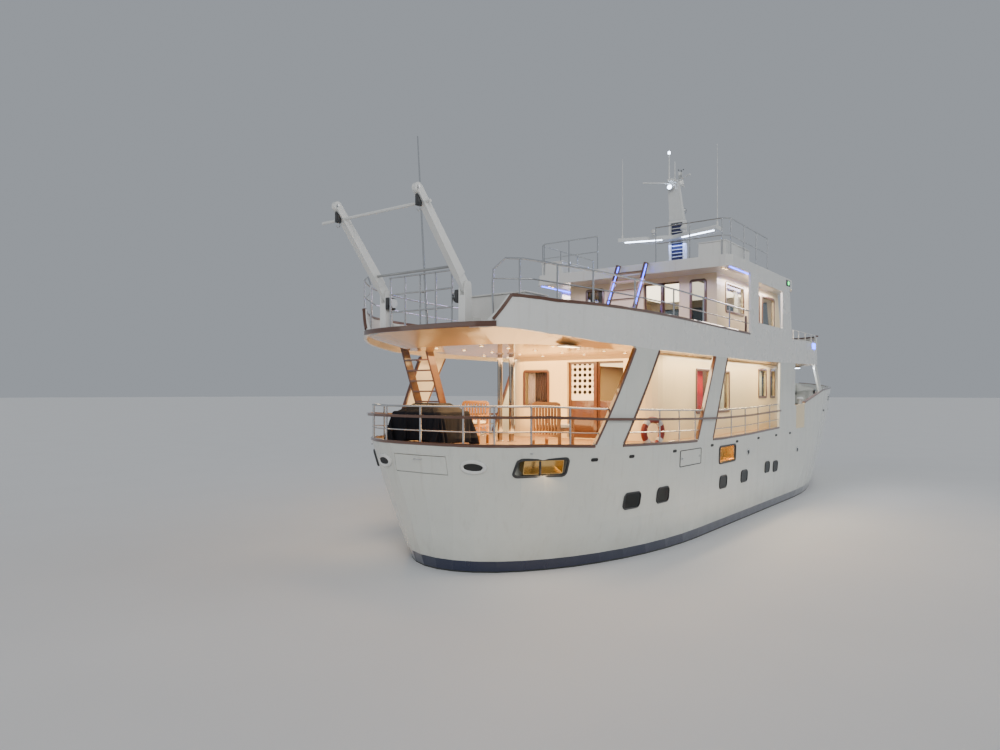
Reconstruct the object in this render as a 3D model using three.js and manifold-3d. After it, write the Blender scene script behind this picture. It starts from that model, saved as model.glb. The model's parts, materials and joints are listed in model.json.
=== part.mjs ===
// Motor yacht, about 26 m long: steel displacement hull, open aft deck, boat deck, upper house and sun deck.
// Millimetres, +X to the bow, +Y to port, +Z up. The origin is on the centreline at the waterline.
import * as THREE from "three";
import { mergeVertices } from "three/addons/utils/BufferGeometryUtils.js";
import Module from "manifold-3d";

const wasm = await Module();
wasm.setup();

// Driving dimensions
const GAP = 0.3; // left between pieces that touch
const WALL = 60; // plating of bulwarks and side screens
const HOUSE_WALL = 80; // deckhouse wall with its lining
const DECK_Z = 2300; // main deck
const SILL_Z = 2450; // top of the coaming at the quarters, where the side openings start
const FOREDECK_Z = 2950;
const FOREDECK_X = 4400; // aft end of the raised foredeck
const CEILING_Z = 4400; // underside of the boat deck
const BOAT_DECK_Z = 4700;
const ROOF_UNDER_Z = 6780;
const ROOF_Z = 7080;
const FAR = 20000; // beyond everything, for cutting blocks
const GATE_X = [1300, 2300];
const GATE_ROOM = 15; // between a gate and the plating beside it

// Sheer of the coaming's top edge: place along the boat, height. The rails rise from it.
const SILL_LINE = [
  [-FAR, 2515], [-12400, 2510], [-11300, 2455], [-9200, 2400], [-7200, 2355], [-5500, 2330], [-3500, 2345],
  [-1500, 2395], [0, 2430], [FAR, 2430],
];
const RAIL_RISE = { middle: 235, cap: 480, top: 700 };

// Plan of the hull at each height. Columns: height, stern end, where the stern curve meets the straight side,
// half-breadth, fullness of the stern curve, where the bow curve starts, stem, fullness of the bow curve.
const HULL_PLAN = [
  [-1450, -6200, -2000, 450, 2.0, -1000, 7800, 1.5],
  [-1150, -8400, -3500, 1900, 2.0, 0, 9400, 1.6],
  [-750, -9800, -4800, 2480, 2.0, 500, 10500, 1.7],
  [-350, -12200, -6200, 2780, 2.0, 1000, 11300, 1.8],
  [0, -12850, -6800, 2900, 2.0, 1500, 11750, 1.9],
  [900, -13050, -6800, 2980, 2.4, 2400, 12150, 2.0],
  [1600, -13200, -6800, 3020, 2.7, 3000, 12450, 2.1],
  [2450, -13350, -6800, 3050, 3.1, 3600, 12750, 2.2],
  [4700, -13450, -6800, 3080, 3.4, 4600, 13350, 2.4],
  [5600, -13450, -6800, 3080, 3.4, 4600, 13350, 2.4],
];
const BOW_STEPS = 9;
const SIDE_STEPS = 3;
const STERN_STEPS = 12;

// Solids
function solid(geometry) {
  const bare = geometry.index ? geometry.toNonIndexed() : geometry.clone();
  bare.deleteAttribute("normal");
  bare.deleteAttribute("uv");
  const merged = mergeVertices(bare, 1e-3);
  return new wasm.Manifold(
    new wasm.Mesh({
      numProp: 3,
      vertProperties: merged.attributes.position.array,
      triVerts: new Uint32Array(merged.index.array),
    }),
  );
}

const join = (first, ...others) => others.reduce((a, b) => a.add(b), first);
const cut = (first, ...others) => others.reduce((a, b) => a.subtract(b), first);
const meet = (a, b) => a.intersect(b);

function box([x0, x1], [y0, y1], [z0, z1]) {
  const block = new THREE.BoxGeometry(x1 - x0, y1 - y0, z1 - z0);
  return solid(block.translate((x0 + x1) / 2, (y0 + y1) / 2, (z0 + z1) / 2));
}

function turnedBox(size, centre, [aroundX, aroundY, aroundZ]) {
  const block = new THREE.BoxGeometry(...size);
  block.rotateX(aroundX).rotateY(aroundY).rotateZ(aroundZ);
  return solid(block.translate(...centre));
}

function rod(from, to, radius, sides = 8, endRadius = radius) {
  const a = new THREE.Vector3(...from);
  const b = new THREE.Vector3(...to);
  const length = a.distanceTo(b);
  const bar = new THREE.CylinderGeometry(endRadius, radius, length, sides);
  bar.translate(0, length / 2, 0);
  const along = b.clone().sub(a).normalize();
  const turn = new THREE.Quaternion().setFromUnitVectors(new THREE.Vector3(0, 1, 0), along);
  return solid(bar.applyQuaternion(turn).translate(a.x, a.y, a.z));
}

function shapeOf(points) {
  return new THREE.Shape(points.map(([u, v]) => new THREE.Vector2(u, v)));
}

// A side view outline, x and z, run across the boat from one y to another.
function acrossBoat(points, y0 = -FAR, y1 = FAR) {
  const prism = new THREE.ExtrudeGeometry(shapeOf(points), { depth: y1 - y0, bevelEnabled: false });
  return solid(prism.rotateX(Math.PI / 2).translate(0, y1, 0));
}

// A plan outline, x and y, run up from one height to another.
function upright(points, z0, z1) {
  const prism = new THREE.ExtrudeGeometry(shapeOf(points), { depth: z1 - z0, bevelEnabled: false });
  return solid(prism.translate(0, 0, z0));
}

// An end view outline, y and z, run along the boat from one x to another.
function alongBoat(points, x0, x1) {
  const prism = new THREE.ExtrudeGeometry(shapeOf(points), { depth: x1 - x0, bevelEnabled: false });
  return solid(prism.rotateX(Math.PI / 2).rotateZ(Math.PI / 2).translate(x0, 0, 0));
}

function tube(points, radius, steps, sides = 8) {
  const path = new THREE.CatmullRomCurve3(points.map((p) => new THREE.Vector3(...p)), false, "centripetal");
  const section = shapeOf(Array.from({ length: sides }, (_, i) => {
    const angle = (2 * Math.PI * i) / sides;
    return [radius * Math.cos(angle), radius * Math.sin(angle)];
  }));
  return solid(new THREE.ExtrudeGeometry(section, { steps, extrudePath: path, bevelEnabled: false }));
}

// A closed skin through rings of equal length, each a list of x, y, z, ordered upwards.
function loft(rings) {
  const count = rings[0].length;
  const positions = rings.flat(2);
  const faces = [];
  for (let level = 0; level + 1 < rings.length; level += 1) {
    for (let i = 0; i < count; i += 1) {
      const next = (i + 1) % count;
      const low = level * count;
      const high = low + count;
      faces.push(low + i, low + next, high + next, low + i, high + next, high + i);
    }
  }
  const flat = (ring) => ring.map(([x, y]) => new THREE.Vector2(x, y));
  const top = (rings.length - 1) * count;
  for (const [a, b, c] of THREE.ShapeUtils.triangulateShape(flat(rings[0]), [])) {
    faces.push(c, b, a);
  }
  for (const [a, b, c] of THREE.ShapeUtils.triangulateShape(flat(rings.at(-1)), [])) {
    faces.push(top + a, top + b, top + c);
  }
  const skin = new THREE.BufferGeometry();
  skin.setAttribute("position", new THREE.Float32BufferAttribute(positions, 3));
  return solid(skin.setIndex(faces));
}

const mirrored = (part) => part.mirror([0, 1, 0]);

// Height on a line through places along the boat and heights, in either order.
function heightOn(line, x) {
  const points = [...line].sort((a, b) => a[0] - b[0]);
  const after = points.findIndex(([place]) => place >= x);
  const [x1, z1] = points[after];
  const [x0, z0] = points[after - 1];
  return z0 + ((z1 - z0) * (x - x0)) / (x1 - x0);
}

// All that lies below a line, or below the line raised by some height.
function below(line, raise = 0) {
  const points = [...line].sort((a, b) => a[0] - b[0]).map(([x, z]) => [x, z + raise]);
  return acrossBoat([[points[0][0], -FAR], [points.at(-1)[0], -FAR], ...points.reverse()]);
}

const sillAt = (x) => heightOn(SILL_LINE, x);

// Hull form: the plan's values at a height
function planAt(z) {
  const upper = HULL_PLAN.findIndex((row) => row[0] >= z);
  const high = HULL_PLAN[upper < 0 ? HULL_PLAN.length - 1 : upper];
  const low = HULL_PLAN[upper < 1 ? 0 : upper - 1];
  const share = high === low ? 0 : THREE.MathUtils.clamp((z - low[0]) / (high[0] - low[0]), 0, 1);
  const row = low.map((value, i) => value + (high[i] - value) * share);
  const [, stern, sternJoin, breadth, sternPower, bowJoin, stem, bowPower] = row;
  return { stern, sternJoin, breadth, sternPower, bowJoin, stem, bowPower };
}

// Half-breadth of the hull at a place along it.
function breadthAt(x, z) {
  const p = planAt(z);
  if (x < p.sternJoin) {
    const share = Math.min((p.sternJoin - x) / (p.sternJoin - p.stern), 1);
    return p.breadth * (1 - share ** p.sternPower) ** (1 / p.sternPower);
  }
  const share = THREE.MathUtils.clamp((x - p.bowJoin) / (p.stem - p.bowJoin), 0, 1);
  return p.breadth * (1 - share ** p.bowPower);
}

// The waterline plan from the stem along the port side, round the stern and back, moved inwards by inset.
function ring(z, inset = 0) {
  const p = planAt(z);
  const port = [];
  for (let i = 1; i <= BOW_STEPS; i += 1) {
    const share = 1 - i / BOW_STEPS;
    const x = p.bowJoin + (p.stem - p.bowJoin) * share;
    port.push([x, p.breadth * (1 - share ** p.bowPower)]);
  }
  for (let i = 1; i <= SIDE_STEPS; i += 1) {
    port.push([p.bowJoin + ((p.sternJoin - p.bowJoin) * i) / SIDE_STEPS, p.breadth]);
  }
  for (let i = 1; i < STERN_STEPS; i += 1) {
    const angle = ((1 - i / STERN_STEPS) * Math.PI) / 2;
    const x = p.sternJoin - (p.sternJoin - p.stern) * Math.cos(angle) ** (2 / p.sternPower);
    port.push([x, p.breadth * Math.sin(angle) ** (2 / p.sternPower)]);
  }
  const starboard = port.map(([x, y]) => [x, -y]).reverse();
  const outline = [[p.stem, 0], ...port, [p.stern, 0], ...starboard];
  return offset(outline, inset).map(([x, y]) => [x, y, z]);
}

// A closed counter-clockwise outline moved inwards, with mitred corners.
function offset(outline, inset) {
  if (!inset) return outline;
  const count = outline.length;
  const normal = ([ax, ay], [bx, by]) => {
    const length = Math.hypot(bx - ax, by - ay);
    return [(ay - by) / length, (bx - ax) / length];
  };
  return outline.map((point, i) => {
    const before = normal(outline[(i + count - 1) % count], point);
    const after = normal(point, outline[(i + 1) % count]);
    const mid = [before[0] + after[0], before[1] + after[1]];
    const scale = (2 * inset) / (mid[0] ** 2 + mid[1] ** 2);
    return [point[0] + mid[0] * scale, point[1] + mid[1] * scale];
  });
}

const levels = (z0, z1) => [z0, ...HULL_PLAN.map((row) => row[0]).filter((z) => z > z0 && z < z1), z1];
const form = (z0, z1, inset = 0) => loft(levels(z0, z1).map((z) => ring(z, inset)));

// Plating that follows the hull form between two heights.
function plating(z0, z1, inset, thickness) {
  const heights = levels(z0, z1);
  const beyond = heights.map((z, i) => (i === 0 ? z - 10 : i === heights.length - 1 ? z + 10 : z));
  const inside = heights.map((z, i) => ring(z, inset + thickness).map(([x, y]) => [x, y, beyond[i]]));
  return cut(form(z0, z1, inset), loft(inside));
}

// Edges of the boat deck's side plate: place along the boat, height. It is cut off raked at its aft end.
const FASCIA_FOOT = [
  [-13400, 4690], [-12500, 4540], [-11300, 4430], [-9500, 4370], [-3000, 4360], [3800, 4470],
];
const FASCIA_HEAD = [
  [3800, 5260], [-3400, 5100], [-8000, 5140], [-12300, 5150], [-13000, 5225], [-13190, 4780],
];

// Raked screens of the main deck: name, then the places of aft foot, forward foot, forward head and aft head.
const SCREENS = [
  ["fashion_plate", -11350, -10500, -9200, -10200],
  ["screen_pillar", -7100, -6100, -5200, -6050],
];

const root = new THREE.Group();

const PAINTS = {
  white: [0xe9e7df, 0.35, 0.0],
  cream: [0xe8d9b4, 0.5, 0.0],
  hull: [0xdfe0dc, 0.3, 0.0],
  teak: [0x9a6a3f, 0.6, 0.0],
  varnish: [0x4a2412, 0.3, 0.0],
  steel: [0xc9ccd0, 0.25, 1.0],
  bronze: [0xb08a4a, 0.4, 1.0],
  cover: [0x2c2d30, 0.9, 0.0],
};

function add(name, part, paint) {
  const raw = part.getMesh();
  const geometry = new THREE.BufferGeometry();
  geometry.setAttribute("position", new THREE.Float32BufferAttribute(raw.vertProperties, 3));
  geometry.setIndex(new THREE.Uint32BufferAttribute(raw.triVerts, 1));
  geometry.computeVertexNormals();
  const [color, roughness, metalness] = PAINTS[paint];
  const mesh = new THREE.Mesh(geometry, new THREE.MeshStandardMaterial({ color, roughness, metalness }));
  mesh.name = name;
  root.add(mesh);
}

// The port piece is the starboard one mirrored.
function addPair(name, starboard, paint) {
  add(name + "_starboard", starboard, paint);
  add(name + "_port", mirrored(starboard), paint);
}

// Running gear sizes
const SHAFT_Y = 1100;
const SHAFT_Z = -1150;
const SHAFT_R = 45;
const SHAFT_SIDES = 24;
const BORE_R = 46;
const BEARING_R = 85;
const STERN_TUBE_X = [-8150, -6500];
const BRACKET_X = [-9950, -9700];
const PROP_X = -10150;
const HUB_R = 85;
const HUB_LENGTH = 260;
const BLADES = 4;
const RUDDER_STOCK_X = -11150;
const RUDDER_TOP_Z = -700;
const RUDDER_FOOT_Z = -1720;
const SHAFT_SEAT = 560; // length of shaft inside the stern tube
const TRUNK = { top: -250, radius: 70 };
// Strut of the shaft bracket: places across, heights.
const STRUT_OUTLINE = [[-1150, -1110], [-1050, -1110], [-900, -560], [-1000, -560]];
const KEEL_OUTLINE = [[7600, -1300], [6600, -1900], [-9300, -1900], [-9500, -1300], [-9000, -700], [0, -700]];
const KEEL_HALF = 140;
const STEP = { y: [-2900, -2300], going: 280, rise: 217 }; // from the side deck up to the foredeck

// Mooring recesses: place along the boat, length, middle height, height of the opening.
const RECESS_DEPTH = 320;
const MOORING_RECESSES = [
  { x: -12320, length: 830, z: 2080, height: 300 },
  { x: -5100, length: 1150, z: 1900, height: 400 },
];

function mooringRecess({ x, length, z, height }) {
  const half = length / 2;
  const aft = [x - half, breadthAt(x - half, z)];
  const fore = [x + half, breadthAt(x + half, z)];
  const turn = Math.atan2(fore[1] - aft[1], fore[0] - aft[0]);
  const span = Math.hypot(fore[0] - aft[0], fore[1] - aft[1]);
  const middle = [(aft[0] + fore[0]) / 2, -(aft[1] + fore[1]) / 2, z];
  return turnedBox([span, 2 * RECESS_DEPTH, height], middle, [0, 0, -turn]);
}

// Foredeck hatch
const HATCH = { x: 8650, half: 350, top: FOREDECK_Z + 130, lid: 56, overhang: 30, plate: 60 };
const hatchBlock = (half, z) => box([HATCH.x - half, HATCH.x + half], [-half, half], z);
const hatchLid = hatchBlock(HATCH.half, [HATCH.top + GAP, HATCH.top + HATCH.lid]);
const coamingHalf = HATCH.half - HATCH.overhang;
const hatchCoaming = cut(
  hatchBlock(coamingHalf, [FOREDECK_Z - 10, HATCH.top]),
  hatchBlock(coamingHalf - HATCH.plate, [FOREDECK_Z - 5, FAR]),
);

// A doubler plate that chocks and gear are fastened to: middle, half its length and breadth, deck height.
const PAD_RISE = 15;
function pad(x, along, across, deckZ) {
  return box([x - along, x + along], [-across, across], [deckZ - 10, deckZ + PAD_RISE]);
}
const foredeckPad = pad(9600, 250, 250, FOREDECK_Z);

// Hatch in the transom, flush with the plating and hinged at its foot. The heel is room for its foot to turn in.
const TRANSOM_HATCH = { y: [-600, 740], z: [1930, 2262], thick: 30, seam: 14, heel: 110, heelRoom: 16 };
function transomHatch(spread, inset, thickness, top = TRANSOM_HATCH.z[1] + spread) {
  const [y0, y1] = TRANSOM_HATCH.y;
  const band = plating(TRANSOM_HATCH.z[0] - spread, top, inset, thickness);
  return meet(band, box([-FAR, -12000], [y0 - spread, y1 + spread], [0, FAR]));
}

function makeHull() {
  const canoe = cut(
    form(HULL_PLAN[0][0], FOREDECK_Z),
    box([-FAR, FOREDECK_X], [-FAR, FAR], [DECK_Z, FAR]),
  );
  const keel = acrossBoat(KEEL_OUTLINE, -KEEL_HALF, KEEL_HALF);
  const steps = [0, 1].map((i) => box(
    [FOREDECK_X - STEP.going * (2 - i), FOREDECK_X + 10], STEP.y, [DECK_Z - 10, DECK_Z + STEP.rise * (i + 1)],
  ));
  const onShaft = ([aft, fore], radius) => rod(
    [fore, -SHAFT_Y, SHAFT_Z], [aft, -SHAFT_Y, SHAFT_Z], radius, SHAFT_SIDES,
  );
  const bossing = onShaft(STERN_TUBE_X, BEARING_R);
  const bore = onShaft([-FAR, STERN_TUBE_X[0] + SHAFT_SEAT + 40], BORE_R);
  const barrel = onShaft(BRACKET_X, BEARING_R);
  const strut = alongBoat(STRUT_OUTLINE, BRACKET_X[0] + 40, BRACKET_X[1] - 40);
  const atStock = (z) => [RUDDER_STOCK_X, -SHAFT_Y, z];
  const trunk = rod(atStock(RUDDER_TOP_Z), atStock(TRUNK.top), TRUNK.radius, 12);
  const starboardGear = cut(join(bossing, barrel, strut, trunk), bore);
  const starboardRecess = join(...MOORING_RECESSES.map(mooringRecess));
  const rooms = [bore, mirrored(bore), starboardRecess, mirrored(starboardRecess)];
  const body = cut(join(canoe, keel, ...steps, ...steps.map(mirrored)), ...rooms);
  const { z: [hatchFoot], thick, seam, heel, heelRoom } = TRANSOM_HATCH;
  const hatchPocket = transomHatch(seam, -50, 50 + thick + GAP);
  const heelPocket = transomHatch(seam, -50, 50 + thick + heelRoom, hatchFoot + heel);
  const whole = join(body, starboardGear, mirrored(starboardGear), hatchCoaming, foredeckPad);
  return cut(whole, hatchPocket, heelPocket);
}
add("hull", makeHull(), "hull");

add("transom_hatch", transomHatch(0, 0, TRANSOM_HATCH.thick), "hull");

const COAMING_WALL = 48;
const coamingSkin = meet(plating(DECK_Z + GAP, 2560, 0, COAMING_WALL), below(SILL_LINE));
add("coaming", meet(coamingSkin, box([-FAR, 0], [-FAR, FAR], [0, FAR])), "hull");

// Bow bulwark, with the raked posts that carry the forward ends of the boat deck
const bowBulwarkProfile = [
  [GATE_X[1] + GATE_ROOM, DECK_Z + GAP], [FOREDECK_X - GAP, DECK_Z + GAP],
  [FOREDECK_X - GAP, FOREDECK_Z + GAP], [FAR, FOREDECK_Z + GAP], [FAR, 3980], [12900, 3930], [9000, 3720],
  [4900, 3570], [GATE_X[1] + GATE_ROOM, 3130],
];
const bowPostProfile = [[4450, 3400], [4900, 3400], [3790, 4450], [3600, 4450], [3600, 4300]];
// Bower anchor, its shank in a hawse hole through the stem
const ANCHOR = { x: 12950, z: 3420, tilt: 0.5 };
const anchorShank = (spread) => turnedBox(
  [900, 70 + 2 * spread, 90 + 2 * spread], [ANCHOR.x - 300, 0, ANCHOR.z + 140], [0, ANCHOR.tilt, 0],
);
const anchorCrown = turnedBox([150, 460, 170], [ANCHOR.x + 130, 0, ANCHOR.z - 98], [0, ANCHOR.tilt, 0]);
add("bow_anchor", join(anchorShank(0), anchorCrown), "steel");

function makeBowBulwark() {
  const sheet = meet(plating(DECK_Z + GAP, 4000, 0, WALL), acrossBoat(bowBulwarkProfile));
  const posts = meet(plating(3300, 4450, 0, WALL), acrossBoat(bowPostProfile));
  return cut(join(sheet, posts), anchorShank(GAP));
}
add("bow_bulwark", makeBowBulwark(), "hull");

// Side screens between the coaming and the boat deck
const SCREEN_TOP = 4600;
const SCREEN_HEAD_Z = 4365; // where the heads of the screens are measured
const sideSkin = plating(DECK_Z + GAP, SCREEN_TOP, 0, WALL);
const starboardHalf = box([-FAR, FAR], [-FAR, 0], [-FAR, FAR]);
const belowSidePlate = below([[-FAR, FASCIA_FOOT[0][1]], ...FASCIA_FOOT, [FAR, FASCIA_FOOT.at(-1)[1]]], -GAP);
const starboardSkin = meet(meet(sideSkin, starboardHalf), belowSidePlate);
const starboardScreen = (outline) => meet(starboardSkin, acrossBoat(outline));
const belowSill = below(SILL_LINE, GAP);
const screenOutlines = SCREENS.map(([, aftFoot, foreFoot, foreHead, aftHead]) => {
  const edgeAt = (foot, head, z) => foot + ((head - foot) * (z - SILL_Z)) / (SCREEN_HEAD_Z - SILL_Z);
  return [
    [edgeAt(aftFoot, aftHead, DECK_Z), DECK_Z], [edgeAt(foreFoot, foreHead, DECK_Z), DECK_Z],
    [edgeAt(foreFoot, foreHead, SCREEN_TOP), SCREEN_TOP], [edgeAt(aftFoot, aftHead, SCREEN_TOP), SCREEN_TOP],
  ];
});
SCREENS.forEach(([name], i) => addPair(name, cut(starboardScreen(screenOutlines[i]), belowSill), "hull"));

// Room for a screen and the gap round it, taken out of the rails that end on it.
function screenRoom(outline) {
  const wide = outline.map(([x, z], i) => [x + (i === 1 || i === 2 ? 2 * GAP : -2 * GAP), z]);
  return meet(plating(DECK_Z + GAP, SCREEN_TOP, -80, WALL + 160), acrossBoat(wide));
}
const SCREEN_FORWARD = [-600, 1100];
const GATE_TOP = [3060, 3100]; // height of the gate at its aft and forward ends
const screenForwardOutline = [
  [SCREEN_FORWARD[0], DECK_Z], [GATE_X[0] - GATE_ROOM, DECK_Z],
  [GATE_X[0] - GATE_ROOM, GATE_TOP[0]],
  [SCREEN_FORWARD[1], GATE_TOP[0]], [SCREEN_FORWARD[1], SCREEN_TOP], [SCREEN_FORWARD[0], SCREEN_TOP],
];
const besideCoaming = meet(belowSill, box([-FAR, GAP], [-FAR, FAR], [0, FAR]));
addPair("screen_forward", cut(starboardScreen(screenForwardOutline), besideCoaming), "hull");

// Gates in the bulwark, hinged at their forward edge
const gateOutline = [
  [GATE_X[0], DECK_Z + GAP], [GATE_X[1], DECK_Z + GAP], [GATE_X[1], GATE_TOP[1]], [GATE_X[0], GATE_TOP[0]],
];
addPair("bulwark_gate", meet(meet(sideSkin, acrossBoat(gateOutline)), starboardHalf), "cream");

// Boat deck with its side plates
const DECK_FRONT = { corner: 3800, tip: 5200, breadth: 3060 };
function frontArc(corner, tip, breadth, power = 2.2, steps = 10) {
  const points = [];
  for (let i = 0; i <= steps; i += 1) {
    const angle = (i / steps) * Math.PI - Math.PI / 2;
    const across = Math.sign(Math.sin(angle)) * Math.abs(Math.sin(angle)) ** (2 / power) * breadth;
    points.push([corner + (tip - corner) * Math.cos(angle) ** (2 / power), across]);
  }
  return points;
}
const deckFrontOutline = (inset) => [
  [-FAR, -FAR], [DECK_FRONT.corner, -FAR],
  ...frontArc(DECK_FRONT.corner, DECK_FRONT.tip - inset, DECK_FRONT.breadth + WALL - inset),
  [DECK_FRONT.corner, FAR], [-FAR, FAR],
];
const sidePlateSkin = plating(4300, 5400, 0, WALL);
const PLATE_END_Y = 1200; // the side plates stop short of the davits
const aftQuarter = box([-FAR, DECK_FRONT.corner - 1], [-FAR, -PLATE_END_Y], [-FAR, FAR]);
const starboardSidePlate = meet(meet(sidePlateSkin, acrossBoat([...FASCIA_FOOT, ...FASCIA_HEAD])), aftQuarter);
addPair("side_plate", starboardSidePlate, "white");

// Davits: hinge pin, place across the boat, half the width of the post's cheeks and of the arm's eye
const DAVIT = { x: -13220, z: 5400, y: 1030, half: 80, eyeHalf: 40, eyeRoom: 8, armHalf: 65 };
const PIN_R = 35;
const PIN_BORE_R = 35.8;
const PIN_SIDES = 24;
const STAIRWELL = { x: [-11600, -10450], y: [1590, 2410] };
const DECK_LOCKER = { x: [-12620, -11900], y: [-1950, -640], top: 5300 };
const CHOCKS = { x: [-9600, -7600], along: 150, across: 450 };

function davitPost(side) {
  const y = side * DAVIT.y;
  const outline = [
    [DAVIT.x - 100, BOAT_DECK_Z - 20], [DAVIT.x + 110, BOAT_DECK_Z - 20], [DAVIT.x + 80, DAVIT.z + 70],
    [DAVIT.x + 40, DAVIT.z + 110], [DAVIT.x - 60, DAVIT.z + 110], [DAVIT.x - 95, DAVIT.z + 70],
  ];
  const slotHalf = DAVIT.eyeHalf + DAVIT.eyeRoom;
  const slot = box([-FAR, FAR], [y - slotHalf, y + slotHalf], [DAVIT.z - 150, FAR]);
  const bore = rod([DAVIT.x, y - 200, DAVIT.z], [DAVIT.x, y + 200, DAVIT.z], PIN_BORE_R, PIN_SIDES);
  return cut(acrossBoat(outline, y - DAVIT.half, y + DAVIT.half), slot, bore);
}

function makeBoatDeck() {
  const slab = loft([
    ring(CEILING_Z, 900).map(([x, y]) => [x, y, CEILING_Z]),
    ring(4655, 25).map(([x, y]) => [x, y, 4655]),
    ring(BOAT_DECK_Z, 0),
  ]);
  const front = meet(slab, upright(deckFrontOutline(WALL + GAP), 0, FAR));
  const roomOutline = [[-13460, 4740], ...FASCIA_FOOT.map(([x, z]) => [x, z - 40]), ...FASCIA_HEAD];
  const plateRoom = meet(plating(4300, 5400, -50, WALL + 50 + 2 * GAP), acrossBoat(roomOutline));
  const betweenPlates = box([-FAR, FAR], [GAP - PLATE_END_Y, PLATE_END_Y - GAP], [-FAR, FAR]);
  const stairwell = box(STAIRWELL.x, STAIRWELL.y, [0, BOAT_DECK_Z + 100]);
  const locker = box(DECK_LOCKER.x, DECK_LOCKER.y, [BOAT_DECK_Z - 10, DECK_LOCKER.top]);
  const chockPads = CHOCKS.x.map((x) => pad(x, CHOCKS.along, CHOCKS.across, BOAT_DECK_Z));
  const deck = cut(front, cut(plateRoom, betweenPlates), stairwell);
  return join(deck, locker, ...chockPads, davitPost(-1), davitPost(1));
}
add("boat_deck", makeBoatDeck(), "white");

const bridgePlate = cut(
  upright(deckFrontOutline(0).slice(2, -2).concat([[DECK_FRONT.corner, 0]]), CEILING_Z + 70, 5480),
  upright(deckFrontOutline(WALL), 0, FAR),
);
add("bridge_bulwark", meet(bridgePlate, box([DECK_FRONT.corner + 1, FAR], [-3040, 3040], [-FAR, FAR])), "white");

// Main deckhouse, open inside, with its windows and doorway cut
const HOUSE = { aft: -7600, fore: 3000, breadth: 2200, corner: 600, rake: 350 };
const HOUSE_TOP = CEILING_Z - GAP;
function roundedPlan(aft, fore, breadth, corner, inset) {
  const points = [[fore, -breadth + inset], [fore, breadth - inset]];
  const radius = corner - inset;
  for (let i = 0; i <= 6; i += 1) {
    const angle = (Math.PI / 2) * (1 + i / 6);
    points.push([aft + corner + radius * Math.cos(angle), breadth - corner + radius * Math.sin(angle)]);
  }
  for (let i = 0; i <= 6; i += 1) {
    const angle = (Math.PI / 2) * (2 + i / 6);
    points.push([aft + corner + radius * Math.cos(angle), -breadth + corner + radius * Math.sin(angle)]);
  }
  return points;
}
const houseShell = cut(
  upright(roundedPlan(HOUSE.aft, HOUSE.fore + 600, HOUSE.breadth, HOUSE.corner, 0), DECK_Z + GAP, HOUSE_TOP),
  upright(roundedPlan(HOUSE.aft, FAR, HOUSE.breadth, HOUSE.corner, HOUSE_WALL), 0, FAR),
);
const SALOON_DOOR = { y: [-1350, 250], z: [DECK_Z + 20, 4250] };
const AFT_WINDOW = { y: [830, 1580], z: [3120, 4030] };
const houseAft = cut(
  meet(houseShell, box([-FAR, HOUSE.aft + HOUSE.corner], [-FAR, FAR], [0, FAR])),
  box([-FAR, HOUSE.aft + 300], SALOON_DOOR.y, SALOON_DOOR.z),
  box([-FAR, HOUSE.aft + 300], AFT_WINDOW.y, AFT_WINDOW.z),
);
add("deckhouse_aft", houseAft, "cream");

// Side windows of the main deckhouse: aft end, forward end, sill, head.
const HOUSE_WINDOWS = [
  [-5100, -4150, 2950, 4080],
  [-3500, -2620, 2950, 4080],
  [120, 900, 3330, 4220],
  [1350, 1850, 3330, 4220],
];
const houseFrontLine = [[HOUSE.fore, DECK_Z], [HOUSE.fore - HOUSE.rake, CEILING_Z]];
function makeHouseSide() {
  const outline = [
    [HOUSE.aft + HOUSE.corner + GAP, DECK_Z + GAP], [houseFrontLine[0][0] - HOUSE_WALL - GAP, DECK_Z + GAP],
    [houseFrontLine[1][0] - HOUSE_WALL - GAP, HOUSE_TOP], [HOUSE.aft + HOUSE.corner + GAP, HOUSE_TOP],
  ];
  const wall = acrossBoat(outline, -HOUSE.breadth, -HOUSE.breadth + HOUSE_WALL);
  return cut(wall, ...HOUSE_WINDOWS.map(([x0, x1, z0, z1]) => box([x0, x1], [-FAR, 0], [z0, z1])));
}
addPair("deckhouse_side", makeHouseSide(), "cream");

// Windows of the deckhouse front: middle across the boat, width.
const FRONT_WINDOWS = [[-1350, 1100], [0, 1100], [1350, 1100]];
const FRONT_WINDOW_Z = [3200, 4050];
function makeHouseFront() {
  const outline = [
    [houseFrontLine[0][0] - HOUSE_WALL, DECK_Z + GAP], [houseFrontLine[0][0], DECK_Z + GAP],
    [houseFrontLine[1][0], HOUSE_TOP], [houseFrontLine[1][0] - HOUSE_WALL, HOUSE_TOP],
  ];
  const wall = acrossBoat(outline, -HOUSE.breadth, HOUSE.breadth);
  const panes = FRONT_WINDOWS.map(([y, width]) => box([0, FAR], [y - width / 2, y + width / 2], FRONT_WINDOW_Z));
  return cut(wall, ...panes);
}
add("deckhouse_front", makeHouseFront(), "cream");

// Two glazed leaves inside the aft bulkhead: the starboard one slides in front of the port one
const LEAF = 40;
const leafPlanes = (wall) => [6, 6 + LEAF + 8].map((from) => {
  const start = wall + HOUSE_WALL + from;
  return [start, start + LEAF];
});
const [fixedPlane, slidingPlane] = leafPlanes(HOUSE.aft);
const doorMiddle = (SALOON_DOOR.y[0] + SALOON_DOOR.y[1]) / 2;
function makeLeaf(x, y, z, frame = 90) {
  const pane = box([x[0] - 10, x[1] + 10], [y[0] + frame, y[1] - frame], [z[0] + 2 * frame, z[1] - frame]);
  return cut(box(x, y, z), pane);
}
const leafZ = [DECK_Z + GAP, 4290];
add("saloon_door_starboard", makeLeaf(slidingPlane, [SALOON_DOOR.y[0] - 20, doorMiddle + 20], leafZ), "varnish");
add("saloon_door_port", makeLeaf(fixedPlane, [doorMiddle - 20, SALOON_DOOR.y[1] + 20], leafZ), "varnish");

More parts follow.
